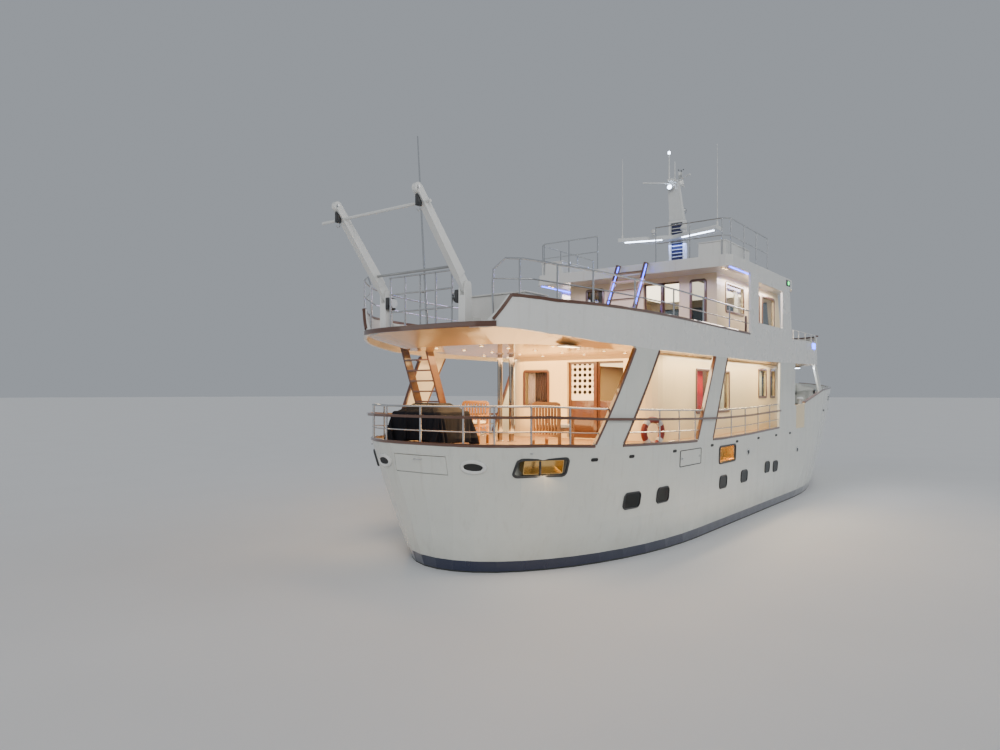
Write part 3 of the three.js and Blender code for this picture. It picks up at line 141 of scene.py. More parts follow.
class YachtSettings(bpy.types.PropertyGroup):
    """Sizes and colours of the yacht's finish."""
    topside_color: bpy.props.FloatVectorProperty(
        name="Topsides", description="Paint above the boot top", subtype="COLOR", size=3,
        default=(0.69, 0.71, 0.66))
    boot_color: bpy.props.FloatVectorProperty(
        name="Boot top", description="Band just above the water", subtype="COLOR", size=3,
        default=(0.008, 0.012, 0.05))
    bottom_color: bpy.props.FloatVectorProperty(
        name="Bottom", description="Antifouling", subtype="COLOR", size=3, default=(0.012, 0.013, 0.016))
    white_color: bpy.props.FloatVectorProperty(
        name="Superstructure", description="Gloss white paint", subtype="COLOR", size=3,
        default=(0.74, 0.75, 0.73))
    cream_color: bpy.props.FloatVectorProperty(
        name="Deckhouse", description="Cream paint of the houses", subtype="COLOR", size=3,
        default=(0.8, 0.66, 0.41))
    varnish_color: bpy.props.FloatVectorProperty(
        name="Varnish", description="Varnished wood", subtype="COLOR", size=3,
        default=(0.075, 0.027, 0.012))
    cover_color: bpy.props.FloatVectorProperty(
        name="Covers", description="Cover cloth", subtype="COLOR", size=3, default=(0.006, 0.007, 0.011))
    boot_height: bpy.props.FloatProperty(
        name="Boot top height", description="Top of the band above the water", unit="LENGTH", default=0.24)
    trim_height: bpy.props.FloatProperty(
        name="Trim height", description="Height of the varnished trims", unit="LENGTH", default=0.06)
    plank_width: bpy.props.FloatProperty(
        name="Plank width", description="Width of a deck plank", unit="LENGTH", default=0.075)
    lamp_power: bpy.props.FloatProperty(
        name="Lamps", description="Brightness of the lamps", default=9.0, min=0.0)


# Plan and sheer
def plan_at(z):
    for low, high in zip(HULL_PLAN, HULL_PLAN[1:]):
        if z <= high[0]:
            share = min(max((z - low[0]) / (high[0] - low[0]), 0.0), 1.0)
            return [a + (b - a) * share for a, b in zip(low, high)]
    return list(HULL_PLAN[-1])


def breadth_at(x, z):
    """Half the hull's breadth."""
    _, stern, stern_join, breadth, stern_power, bow_join, stem, bow_power = plan_at(z)
    if x < stern_join:
        share = min((stern_join - x) / (stern_join - stern), 1.0)
        return breadth * (1.0 - share ** stern_power) ** (1.0 / stern_power)
    share = min(max((x - bow_join) / (stem - bow_join), 0.0), 1.0)
    return breadth * (1.0 - share ** bow_power)


def height_on(line, x):
    for (x0, z0), (x1, z1) in zip(line, line[1:]):
        if x <= x1:
            return z0 + (z1 - z0) * (x - x0) / (x1 - x0)
    return line[-1][1]


def sill(x):
    return height_on(SILL_LINE, x)


def edge_at(foot, head, z):
    return foot + (head - foot) * (z - EDGE_FOOT_Z) / (EDGE_HEAD_Z - EDGE_FOOT_Z)


def front_x(z):
    """Place of the upper house's raked front at a height."""
    return UPPER_FRONT_X - UPPER_RAKE * (z - BOAT_DECK_Z)


def spot_and_out(skin, u, v, step=0.02):
    """A point on a skin, given as a function of two coordinates, and the direction square to the skin."""
    here = skin(u, v)
    return here, (skin(u + step, v) - here).cross(skin(u, v + step) - here).normalized()


def hull_spot(x, z):
    """A point on the hull's starboard side and the direction outwards from it."""
    return spot_and_out(lambda x, z: Vector((x, -breadth_at(x, z), z)), x, z)


def stern_spot(y, z):
    """A point on the stern and the direction outwards from it."""
    def skin(y, z):
        _, stern, join, breadth, power, *_ = plan_at(z)
        return Vector((join - (join - stern) * (1 - abs(y / breadth) ** power) ** (1 / power), y, z))
    here, out = spot_and_out(skin, y, z)
    return here, out if out.x < 0 else -out


def mid_wall(x, z):
    """A point in the middle of the starboard wall over the hull's side."""
    return Vector((x, -(breadth_at(x, z) - WALL / 2), z))


def side_line(x0, x1, height, count):
    """Points along the starboard wall at heights given by a function of x."""
    places = [x0 + (x1 - x0) * i / count for i in range(count + 1)]
    return [mid_wall(x, height(x)) for x in places]


def stern_line(x_end, height, inset, count=18):
    """Points from the starboard side at x_end round the stern to the port side."""
    _, stern, join, breadth, power, *_ = plan_at(height(-12.9))
    half = []
    for i in range(count + 1):
        angle = math.pi / 2 * i / count
        x = join - (join - stern) * math.cos(angle) ** (2 / power)
        if x > x_end:
            break
        half.append((x, breadth * math.sin(angle) ** (2 / power)))
    half.append((x_end, breadth_at(x_end, height(x_end))))
    outline = [(x, -y) for x, y in reversed(half)] + half[1:]
    middle = Vector((-9.0, 0, 0))
    points = []
    for i, (x, y) in enumerate(outline):
        before = outline[max(i - 1, 0)]
        after = outline[min(i + 1, len(outline) - 1)]
        along = Vector((after[0] - before[0], after[1] - before[1], 0)).normalized()
        inward = Vector((-along.y, along.x, 0))
        if inward.dot(middle - Vector((x, y, 0))) < 0:
            inward = -inward
        points.append(Vector((x, y, height(x))) + inward * inset)
    return points


# Modelling
def deselect():
    if bpy.context.mode != "OBJECT":
        bpy.ops.object.mode_set(mode="OBJECT")
    bpy.ops.object.select_all(action="DESELECT")


def pick(obj):
    deselect()
    obj.select_set(True)
    bpy.context.view_layer.objects.active = obj


def edit(obj, *steps):
    """Runs each step in edit mode on the whole mesh."""
    pick(obj)
    bpy.ops.object.mode_set(mode="EDIT")
    for step in steps:
        bpy.ops.mesh.select_all(action="SELECT")
        step()
    bpy.ops.object.mode_set(mode="OBJECT")
    return obj


def merge_doubles():
    bpy.ops.mesh.remove_doubles(threshold=0.0001)


def turn_outwards():
    bpy.ops.mesh.normals_make_consistent(inside=False)


def settle(obj):
    """Moves the object's place, turn and size into its mesh."""
    pick(obj)
    bpy.ops.object.transform_apply(location=True, rotation=True, scale=True)
    return obj


def soften(obj, width):
    """Rounds the sharp edges."""
    pick(obj)
    rounding = obj.modifiers.new("rounding", "BEVEL")
    rounding.width = width
    rounding.segments = 2
    rounding.limit_method = "ANGLE"
    rounding.angle_limit = math.radians(40)
    bpy.ops.object.modifier_apply(modifier=rounding.name)
    return obj


def block(low, high, bevel=0.006, segments=2):
    """A box between two opposite corners, with its edges eased."""
    deselect()
    size = [abs(b - a) for a, b in zip(low, high)]
    bpy.ops.mesh.primitive_cube_add(size=1, location=[(a + b) / 2 for a, b in zip(low, high)])
    obj = bpy.context.active_object
    obj.scale = size
    settle(obj)
    if bevel:
        width = min(bevel, 0.45 * min(size))
        edit(obj, lambda: bpy.ops.mesh.bevel(offset=width, segments=segments, affect="EDGES"))
    return obj


def turned(profile, centre, axis=UP, sides=24):
    """A round piece: the profile's radius and height pairs are spun about the axis through centre."""
    deselect()
    bpy.ops.mesh.primitive_circle_add(vertices=sides, radius=1, fill_type="NGON")

    def extrude_profile():
        radius, height = profile[0]
        bpy.ops.transform.resize(value=(radius, radius, 1))
        bpy.ops.transform.translate(value=(0, 0, height))
        for next_radius, next_height in profile[1:]:
            bpy.ops.mesh.extrude_region_move(TRANSFORM_OT_translate={"value": (0, 0, next_height - height)})
            scale = next_radius / radius
            bpy.ops.transform.resize(value=(scale, scale, 1), center_override=(0, 0, next_height))
            radius, height = next_radius, next_height

    obj = edit(bpy.context.active_object, extrude_profile)
    obj.matrix_world = Matrix.Translation(centre) @ Vector(axis).to_track_quat("Z", "Y").to_matrix().to_4x4()
    return edit(settle(obj), merge_doubles, turn_outwards)


def bar(start, end, radius):
    """A round bar between two points."""
    along = Vector(end) - Vector(start)
    return turned([(radius, 0), (radius, along.length)], start, along, 12)


def curve_through(name, places, dimensions, closed):
    """A curve of straight spans through the places."""
    curve = bpy.data.curves.new(name, "CURVE")
    curve.dimensions = dimensions
    spline = curve.splines.new("POLY")
    spline.points.add(len(places) - 1)
    for point, place in zip(spline.points, places):
        point.co = (*place, 1)
    spline.use_cyclic_u = closed
    return curve


def swept(curve):
    """The curve's sweep as a mesh."""
    obj = bpy.data.objects.new(curve.name, curve)
    bpy.context.collection.objects.link(obj)
    pick(obj)
    bpy.ops.object.convert(target="MESH")
    return edit(bpy.context.active_object, merge_doubles, turn_outwards)


def tube(points, radius, closed=False):
    """A round sweep along points."""
    curve = curve_through("path", points, "3D", closed)
    curve.twist_mode = "MINIMUM"
    curve.bevel_depth = radius
    curve.bevel_resolution = 2
    curve.use_fill_caps = not closed
    return swept(curve)


def strip(points, width, height, corner=0.2):
    """A flat strip along points, with eased corners."""
    w, h = width / 2, height / 2
    c = corner * min(width, height)
    corners = [
        (-w + c, -h, 0), (w - c, -h, 0), (w, -h + c, 0), (w, h - c, 0),
        (w - c, h, 0), (-w + c, h, 0), (-w, h - c, 0), (-w, -h + c, 0),
    ]
    outline = curve_through("profile", corners, "2D", True)
    shape = bpy.data.objects.new("profile", outline)
    curve = curve_through("path", points, "3D", False)
    curve.twist_mode = "Z_UP"
    curve.bevel_mode = "OBJECT"
    curve.bevel_object = shape
    curve.use_fill_caps = True
    obj = swept(curve)
    bpy.data.objects.remove(shape)
    return obj


def plate(width, height, corner, depth, band=0.0):
    """A plate with rounded corners in X and Y, or a ring of that band, thickened along Z."""
    deselect()
    bpy.ops.mesh.primitive_plane_add(size=1)
    obj = bpy.context.active_object
    obj.scale = (width, height, 1)

    def pierce():
        if band:
            bpy.ops.mesh.inset(thickness=band)
            bpy.ops.mesh.delete(type="FACE")

    return edit(
        settle(obj),
        lambda: bpy.ops.mesh.bevel(offset=corner, segments=5, affect="VERTICES"),
        pierce,
        lambda: bpy.ops.mesh.extrude_region_move(TRANSFORM_OT_translate={"value": (0, 0, depth)}),
        turn_outwards,
    )


def face_to(obj, centre, normal):
    """Turns a piece made in X and Y so that it faces along normal, with its Y upwards."""
    normal = Vector(normal).normalized()
    up = UP if abs(normal.z) < 0.95 else FORWARD
    v = (up - normal * up.dot(normal)).normalized()
    u = v.cross(normal)
    obj.matrix_world = Matrix.Translation(centre) @ Matrix((u, v, normal)).transposed().to_4x4()
    return settle(obj)


def angles(count):
    """Equal steps once round."""
    return [2 * math.pi * i / count for i in range(count)]


def oval(centre, u, v, width, height, count=24):
    """Points round an oval with half-axes of those lengths along u and v."""
    return [centre + u * width * math.cos(a) + v * height * math.sin(a) for a in angles(count)]


def skin_oval(spot_at, u, v, width, height, thick):
    """An oval ring laid on the skin that spot_at gives."""
    points = [spot_at(u + width * math.cos(a), v + height * math.sin(a))[0] for a in angles(24)]
    return tube(points, thick, closed=True)


def inlay(spot_at, u, v, width, height, corner, depth, below):
    """A plate set into the skin that spot_at gives, its back that far below it."""
    spot, out = spot_at(u, v)
    return face_to(plate(width, height, corner, depth), spot - below * out, out)


def joined(objects):
    """One piece made of an object or a list of them."""
    if not isinstance(objects, list):
        return objects
    if len(objects) > 1:
        pick(objects[0])
        for obj in objects:
            obj.select_set(True)
        bpy.ops.object.join()
    return objects[0]


def opposite(obj):
    """A copy on the other side of the centreline."""
    pick(obj)
    bpy.ops.object.duplicate()
    other = bpy.context.active_object
    other.scale = (1, -1, 1)
    return edit(settle(other), turn_outwards)


def done(objects, name, finish, body="yacht", angle=35):
    """Names a piece, gives it its finish and lets it ride on its body."""
    obj = settle(joined(objects))
    obj.name = name
    obj.data.name = name
    bpy.ops.object.shade_smooth_by_angle(angle=math.radians(angle))
    obj.data.materials.clear()
    obj.data.materials.append(bpy.data.materials[finish])
    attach(obj, body)
    return obj


def both_sides(objects, name, finish):
    """Finishes a starboard piece and its copy to port."""
    starboard = joined(objects)
    port = opposite(starboard)
    done(starboard, name + "_starboard", finish)
    done(port, name + "_port", finish)


def hold(data, place, aim):
    """Puts a camera or a lamp's light at a place, looking along aim."""
    holder = bpy.data.objects.new(data.name, data)
    holder.location = place
    holder.rotation_euler = Vector(aim).to_track_quat("-Z", "Y").to_euler()
    bpy.context.collection.objects.link(holder)
    return holder


# Materials
class Nodes:
    """Adds nodes to the tree of a material or of a node group."""

    def __init__(self, tree):
        self.tree = tree

    def feed(self, sockets, values):
        """Links each value to the socket of its key, or sets it there as a constant."""
        for key, value in values.items():
            socket = sockets[key]
            if isinstance(value, bpy.types.NodeSocket):
                self.tree.links.new(value, socket)
            elif socket.type == "RGBA" and len(value) == 3:
                socket.default_value = (*value, 1)
            else:
                socket.default_value = value

    def put(self, kind, inputs=None, **settings):
        made = self.tree.nodes.new(kind)
        for key, value in settings.items():
            setattr(made, key, value)
        self.feed(made.inputs, inputs or {})
        return made

    def math(self, operation, a, b=0.0):
        return self.put("ShaderNodeMath", {0: a, 1: b}, operation=operation).outputs[0]

    def plus(self, a, b):
        return self.math("ADD", a, b)

    def minus(self, a, b):
        return self.math("SUBTRACT", a, b)

    def times(self, a, b):
        return self.math("MULTIPLY", a, b)

    def above(self, value, level):
        return self.math("GREATER_THAN", value, level)

    def near_half(self, value, reach):
        """1 where the value is within reach of one half."""
        compared = self.math("COMPARE", value, 0.5)
        compared.node.inputs[2].default_value = reach
        return compared

    def mix(self, share, low, high):
        """Mixes two colours, which are the colour mixer's sockets 6 and 7."""
        return self.put("ShaderNodeMix", {0: share, 6: low, 7: high}, data_type="RGBA").outputs[2]

    def spread(self, value, low, high):
        """Maps 0 to 1 onto low to high."""
        return self.put("ShaderNodeMapRange", {"Value": value, "To Min": low, "To Max": high}).outputs[0]

    def ramp(self, value, low, high):
        """Maps low to high onto 0 to 1."""
        return self.put("ShaderNodeMapRange", {"Value": value, "From Min": low, "From Max": high}).outputs[0]

    def noise(self, vector, scale, detail, roughness=0.5):
        inputs = {"Vector": vector, "Scale": scale, "Detail": detail, "Roughness": roughness}
        return self.put("ShaderNodeTexNoise", inputs).outputs[0]

    def cells(self, vector, scale):
        return self.put("ShaderNodeTexVoronoi", {"Vector": vector, "Scale": scale}).outputs[0]

    def stretch(self, vector, scale):
        return self.put("ShaderNodeMapping", {"Vector": vector, "Scale": scale}).outputs[0]

    def split(self, vector):
        return self.put("ShaderNodeSeparateXYZ", {"Vector": vector}).outputs

    def group(self, name, **inputs):
        return self.put("ShaderNodeGroup", inputs, node_tree=bpy.data.node_groups[name]).outputs

    def facing_up(self, low, high):
        """1 where the surface faces upwards, from that slope of the normal on."""
        normal = self.put("ShaderNodeNewGeometry").outputs["Normal"]
        return self.ramp(self.split(normal)[2], low, high)

    def seams(self, parts, pitches, low, high):
        """1 along lines across each named axis, repeated at its pitch."""
        lines = []
        for axis, pitch in pitches:
            offset = self.math("FRACT", self.math("DIVIDE", parts[axis], pitch))
            away = self.math("ABSOLUTE", self.minus(offset, 0.5))
            lines.append(self.ramp(away, low, high))
        return self.math("MAXIMUM", *lines)


class Finish(Nodes):
    """A new material, with the object's coordinates for its patterns."""

    def __init__(self, name):
        material = bpy.data.materials.new(name)
        material.use_nodes = True
        super().__init__(material.node_tree)
        self.shader = self.tree.nodes["Principled BSDF"]
        self.place = self.put("ShaderNodeTexCoord").outputs["Object"]

    def look(self, values):
        self.feed(self.shader.inputs, values)

    def relief(self, height, distance):
        bump = self.put("ShaderNodeBump", {"Height": height, "Distance": distance, "Strength": 1.0})
        self.look({"Normal": bump.outputs[0]})


def shade(color, factor, lift=0.0):
    """The colour made darker or lighter."""
    return tuple(min(1.0, factor * c + lift) for c in color)


def new_group(name, inputs, outputs):
    tree = bpy.data.node_groups.new(name, "ShaderNodeTree")
    for way, sockets in (("INPUT", inputs), ("OUTPUT", outputs)):
        for label, kind in sockets.items():
            tree.interface.new_socket(name=label, in_out=way, socket_type="NodeSocket" + kind)
    group = Nodes(tree)
    return group, group.put("NodeGroupInput").outputs, group.put("NodeGroupOutput").inputs


def make_weather_group():
    """Soft stains, fine grain and run-down streaks over a painted surface."""
    group, given, result = new_group(
        "weathering", {"Vector": "Vector"}, {"Stains": "Float", "Grain": "Float", "Streaks": "Float"})
    streaks = group.noise(group.stretch(given[0], (5.0, 5.0, 0.35)), 2.0, 4.0)
    group.feed(result, {
        "Stains": group.noise(given[0], 1.3, 5.0, 0.6),
        "Grain": group.noise(given[0], 160.0, 2.0),
        "Streaks": group.ramp(streaks, 0.56, 0.78),
    })


def make_plank_group():
    """Laid planks along the boat: grain, tone of each plank and the dark seams between them."""
    group, given, result = new_group(
        "planks", {"Vector": "Vector", "Width": "Float", "Color": "Color"},
        {"Color": "Color", "Height": "Float"})
    times = group.times
    x, y, _ = group.split(given["Vector"])
    row = group.math("DIVIDE", y, given["Width"])
    number = group.math("FLOOR", row)
    length = times(group.plus(x, times(number, 7.31)), 0.42)
    seam = group.near_half(group.math("FRACT", row), 0.455)
    butt = group.near_half(group.math("FRACT", length), 0.498)
    wood = times(seam, butt)
    board = group.put("ShaderNodeCombineXYZ", {"X": number, "Y": group.math("FLOOR", length)}).outputs[0]
    tone = group.put("ShaderNodeTexWhiteNoise", {"Vector": board}, noise_dimensions="3D").outputs[0]
    grain = group.noise(group.stretch(given["Vector"], (1.2, 26.0, 26.0)), 6.0, 6.0, 0.65)
    darker = group.mix(0.55, given["Color"], (0.0, 0.0, 0.0))
    toned = group.mix(times(tone, 0.45), given["Color"], darker)
    grained = group.mix(times(grain, 0.5), toned, darker)
    group.feed(result, {
        "Color": group.mix(wood, (0.012, 0.011, 0.01), grained),
        "Height": group.plus(wood, times(grain, 0.25)),
    })


def make_weave_group():
    """Crossed threads of a woven cloth."""
    group, given, result = new_group(
        "weave", {"Vector": "Vector", "Threads": "Float"}, {"Height": "Float", "Tone": "Float"})
    x, y, z = group.split(given["Vector"])
    waves = [group.math("SINE", group.times(value, given["Threads"])) for value in (group.plus(x, y), z)]
    group.feed(result, {
        "Height": group.times(*waves),
        "Tone": group.noise(given["Vector"], 3.5, 4.0),
    })


def make_paint(name, color, roughness=0.25, coat=0.6, stain=0.12):
    """Gloss paint; gives its nodes, its colour and its weathering for the paints that build on it."""
    paint = Finish(name)
    weather = paint.group("weathering", Vector=paint.place)
    stained = paint.mix(paint.times(weather["Stains"], stain * 2), color, shade(color, 0.62))
    streaked = paint.mix(paint.times(weather["Streaks"], stain), stained, (0.32, 0.27, 0.2))
    paint.look({
        "Base Color": streaked,
        "Roughness": paint.spread(weather["Stains"], roughness - 0.08, roughness + 0.14),
        "Coat Weight": coat, "Coat Roughness": 0.08,
    })
    paint.relief(weather["Grain"], 0.0004)
    return paint, streaked, weather


def make_hull_paint(settings):
    """Topsides, boot top and bottom by height, and teak on what faces up over the deck."""
    paint, topside, weather = make_paint("hull_paint", settings.topside_color, 0.2, 0.8, 0.16)
    times = paint.times
    parts = paint.split(paint.place)
    height = paint.plus(parts[2], times(weather["Grain"], 0.004))
    over_boot = paint.above(height, settings.boot_height)
    over_water = paint.above(height, 0.03)
    grime = times(paint.ramp(parts[2], 0.75, 0.24), times(weather["Stains"], 0.5))
    low_topside = paint.mix(grime, topside, (0.25, 0.24, 0.17))
    boot = paint.mix(times(weather["Stains"], 0.4), settings.boot_color, (0.05, 0.06, 0.06))
    growth = paint.noise(paint.place, 7.0, 8.0)
    bottom = paint.mix(growth, settings.bottom_color, (0.04, 0.045, 0.03))
    sides = paint.mix(over_boot, paint.mix(over_water, bottom, boot), low_topside)
    planks = paint.group("planks", Vector=paint.place, Width=settings.plank_width, Color=LAID_TEAK)
    on_deck = times(paint.facing_up(0.8, 0.85), paint.above(parts[2], 2.25))
    rough = paint.plus(paint.spread(weather["Stains"], 0.06, 0.24), times(on_deck, 0.45))
    paint.look({
        "Base Color": paint.mix(on_deck, sides, planks["Color"]),
        "Roughness": paint.math("MAXIMUM", rough, times(paint.minus(1.0, over_water), 0.7)),
        "Coat Weight": times(over_water, paint.minus(0.8, times(on_deck, 0.8))),
    })
    # plating: weld seams and the slight hollows between the frames
    welds = times(paint.seams(parts, ((0, 2.15), (2, 0.74)), 0.493, 0.5), 0.35)
    hollows = times(paint.math("SINE", times(parts[0], 2 * math.pi / FRAME_PITCH)), 0.5)
    plated = times(paint.plus(welds, hollows), paint.minus(1.0, on_deck))
    paint.relief(paint.plus(plated, times(planks["Height"], on_deck)), 0.0022)


def make_deck_paint(settings):
    """White sides, teak laid on the deck, and panels under it in a patchy orange that is painted warm
    lamplight over cream.
    """
    paint, white, weather = make_paint("deck_paint", settings.white_color, 0.25, 0.6, 0.14)
    parts = paint.split(paint.place)
    on_deck = paint.times(paint.facing_up(0.8, 0.85), paint.math("LESS_THAN", parts[2], BOAT_DECK_Z + 0.012))
    under = paint.minus(1.0, paint.facing_up(-0.5, -0.45))
    planks = paint.group("planks", Vector=paint.place, Width=settings.plank_width, Color=LAID_TEAK)
    # Painted lamplight: faces that look down take a patchy warm orange for the lamps' glow on the ceiling.
    glow = paint.mix(paint.times(weather["Stains"], 0.35), (0.68, 0.43, 0.19), (0.42, 0.23, 0.08))
    paint.look({
        "Base Color": paint.mix(on_deck, paint.mix(under, white, glow), planks["Color"]),
        "Roughness": paint.plus(0.2, paint.times(on_deck, 0.4)),
    })
    panels = paint.times(paint.seams(parts, ((0, 1.2), (1, 1.05)), 0.492, 0.499), under)
    paint.relief(paint.minus(paint.times(planks["Height"], on_deck), panels), 0.003)


def make_roof_paint(settings):
    """White sides with a stippled, slightly darker walking surface."""
    paint, white, weather = make_paint("roof_paint", settings.white_color, 0.3, 0.4, 0.16)
    top = paint.facing_up(0.8, 0.9)
    grey = paint.mix(weather["Stains"], (0.55, 0.56, 0.55), (0.42, 0.43, 0.42))
    paint.look({
        "Base Color": paint.mix(top, white, grey), "Roughness": paint.plus(0.28, paint.times(top, 0.4)),
    })
    paint.relief(paint.times(paint.cells(paint.place, 240.0), top), 0.0015)


def make_wood(name, color, gloss, scale=(1.5, 22.0, 22.0)):
    """Wood with its grain drawn out along the axis of the smallest scale."""
    wood = Finish(name)
    stretched = wood.stretch(wood.place, scale)
    grain = wood.noise(stretched, 3.0, 7.0, 0.62)
    pores = wood.noise(stretched, 22.0, 3.0)
    streaked = wood.mix(grain, color, shade(color, 2.1))
    dull = 0.3 * (1 - gloss)
    wood.look({
        "Base Color": wood.mix(wood.times(pores, 0.5), streaked, shade(color, 0.35)),
        "Roughness": wood.spread(grain, 0.22 + dull, 0.42 + dull),
        "Coat Weight": gloss, "Coat Roughness": 0.05,
    })
    wood.relief(pores, 0.0006)


def make_metal(name, color, roughness, patina=None, patina_share=1.0):
    """Metal with smudges and fine scratches, toned by its patina or by a darker shade of its own."""
    metal = Finish(name)
    smudges = metal.noise(metal.place, 5.0, 6.0, 0.7)
    share = metal.times(smudges, patina_share)
    metal.look({
        "Base Color": metal.mix(share, color, patina or shade(color, 0.72)), "Metallic": 1.0,
        "Roughness": metal.spread(smudges, roughness * 0.6, roughness * 1.7),
    })
    metal.relief(metal.noise(metal.place, 210.0, 2.0), 0.0002)


def make_cloth(name, color, threads=300.0, sheen=0.3, shine=0.5):
    """Woven cloth with faded blotches."""
    cloth = Finish(name)
    weave = cloth.group("weave", Vector=cloth.place, Threads=threads)
    cloth.look({
        "Base Color": cloth.mix(weave["Tone"], color, shade(color, 1.7, 0.003)),
        "Roughness": cloth.spread(weave["Tone"], 0.6, 0.9),
        "Sheen Weight": sheen, "Specular IOR Level": shine,
    })
    cloth.relief(weave["Height"], 0.0008)


def make_plain(name, color, roughness, grain_scale=90.0, metallic=0.0):
    """Moulded plastic, rubber or enamel with a fine grain."""
    plain = Finish(name)
    mottle = plain.noise(plain.place, 3.0, 5.0)
    plain.look({
        "Base Color": plain.mix(mottle, color, shade(color, 0.7, 0.01)), "Metallic": metallic,
        "Roughness": plain.spread(mottle, roughness - 0.07, roughness + 0.1),
    })
    plain.relief(plain.noise(plain.place, grain_scale, 3.0), 0.0005)


def make_lamp(name, color, strength):
    """The lit lens of a lamp."""
    lamp = Finish(name)
    tint = lamp.mix(lamp.times(lamp.cells(lamp.place, 120.0), 0.3), color, shade(color, 0.8))
    lamp.look({"Base Color": tint, "Emission Color": tint, "Emission Strength": strength, "Roughness": 0.3})


def make_glass(name, tint):
    """Glass with a faint film on it."""
    glass = Finish(name)
    film = glass.noise(glass.place, 2.5, 4.0)
    glass.look({
        "Base Color": glass.mix(film, tint, shade(tint, 0.93)),
        "Roughness": glass.spread(film, 0.02, 0.07), "Transmission Weight": 1.0, "IOR": 1.2,
    })
    return glass


def make_etched_glass():
    """Frosted glass with rows of clear diamonds over a plain band, the diamonds painted near black as painted
    shade of the room behind.
    """
    glass = make_glass("etched_glass", (0.92, 0.95, 0.93))
    x, y, z = glass.split(glass.place)
    waves = [
        glass.math("SINE", glass.times(slanted, math.pi / DIAMOND_SIZE))
        for slanted in (glass.plus(y, z), glass.minus(y, z))
    ]
    clear = glass.ramp(glass.times(*waves), 0.12, 0.2)
    frosted = glass.minus(1.0, glass.times(clear, glass.above(z, DIAMONDS_FOOT_Z)))
    # The clear diamonds are painted near black: painted shade for the dim room seen through them.
    glass.look({
        "Base Color": glass.mix(frosted, (0.02, 0.014, 0.012), (0.92, 0.88, 0.83)),
        "Roughness": glass.spread(frosted, 0.03, 0.75), "Transmission Weight": 0.2,
    })


class YACHT_OT_finishes(bpy.types.Operator):
    """Makes the finishes and paints the hull, decks, houses and gear with them"""
    bl_idname = "yacht.finishes"
    bl_label = "Finishes"

    def execute(self, context):
        settings = context.scene.yacht
        for node in frame["nodes"].values():
            for material_slot in node.material_slots:
                material_slot.material = None
        for material in list(bpy.data.materials):
            bpy.data.materials.remove(material)
        make_weather_group()
        make_plank_group()
        make_weave_group()
        make_hull_paint(settings)
        make_deck_paint(settings)
        make_roof_paint(settings)
        make_paint("white_paint", settings.white_color)
        make_paint("cream_paint", settings.cream_color, 0.35, 0.4, 0.1)
        make_wood("varnish", settings.varnish_color, 1.0)
        make_wood("teak", (0.25, 0.115, 0.034), 0.25, (22.0, 22.0, 1.6))
        make_metal("steel", (0.7, 0.71, 0.72), 0.2)
        # Steel of the columns, its colour darkened and warmed as a painted reflection of the warm lamps round
        # it.
        make_metal("steel_painted_warm_reflection", (0.4, 0.34, 0.28), 0.06)
        make_metal("bronze", (0.62, 0.4, 0.17), 0.3, (0.12, 0.2, 0.14), 0.5)
        make_metal("brass", (0.86, 0.6, 0.25), 0.22, (0.3, 0.17, 0.05), 0.4)
        make_cloth("cover_cloth", settings.cover_color, sheen=0.0, shine=0.12)
        make_cloth("tan_cloth", (0.42, 0.36, 0.22))
        make_cloth("red_cloth", (0.62, 0.004, 0.006), 420.0, 0.08)
        make_cloth("cream_cloth", (0.82, 0.7, 0.48), 420.0, 0.5)
        make_cloth("lilac_cloth", (0.4, 0.32, 0.36), 420.0, 0.4)
        make_cloth("plum_cloth", (0.05, 0.018, 0.02), 420.0, 0.3)
        make_plain("rubber", (0.013, 0.013, 0.014), 0.6)
        make_plain("plastic", (0.75, 0.75, 0.72), 0.35)
        make_plain("buoy_red", (0.24, 0.02, 0.012), 0.45)
        make_plain("dark_paint", (0.03, 0.032, 0.035), 0.35)
        make_plain("navy_paint", (0.006, 0.012, 0.09), 0.3)
        make_plain("galvanised", (0.45, 0.46, 0.46), 0.5, 60.0, 0.8)
        lamp = settings.lamp_power
        make_lamp("lamp_warm", (1.0, 0.72, 0.36), lamp)
        make_lamp("lamp_white", (0.66, 0.78, 1.0), lamp * 1.6)
        make_lamp("lamp_blue", (0.03, 0.07, 1.0), lamp * 1.3)
        make_lamp("lamp_red", (1.0, 0.05, 0.02), lamp * 0.4)
        make_lamp("lamp_green", (0.03, 0.9, 0.2), lamp * 0.4)
        make_glass("glass", (0.9, 0.95, 0.94))
        make_glass("tinted_glass", (0.28, 0.31, 0.32))
        make_glass("port_glass", (0.035, 0.042, 0.048))
        make_etched_glass()
        of_slot = {slot: finish for finish, slot in reversed(FINISH_SLOTS.items())}
        # The bulwark gates keep the cream paint slot of the record: their pale cream is painted lamplight,
        # where their own colour is the hull paint's.
        for row in frame["record"]["subparts"]:
            finish = SPECIAL_FINISHES.get(row["node"], of_slot[row["material_slot"]])
            for material_slot in frame["nodes"][row["node"]].material_slots:
                material_slot.material = bpy.data.materials[finish]
        return {"FINISHED"}


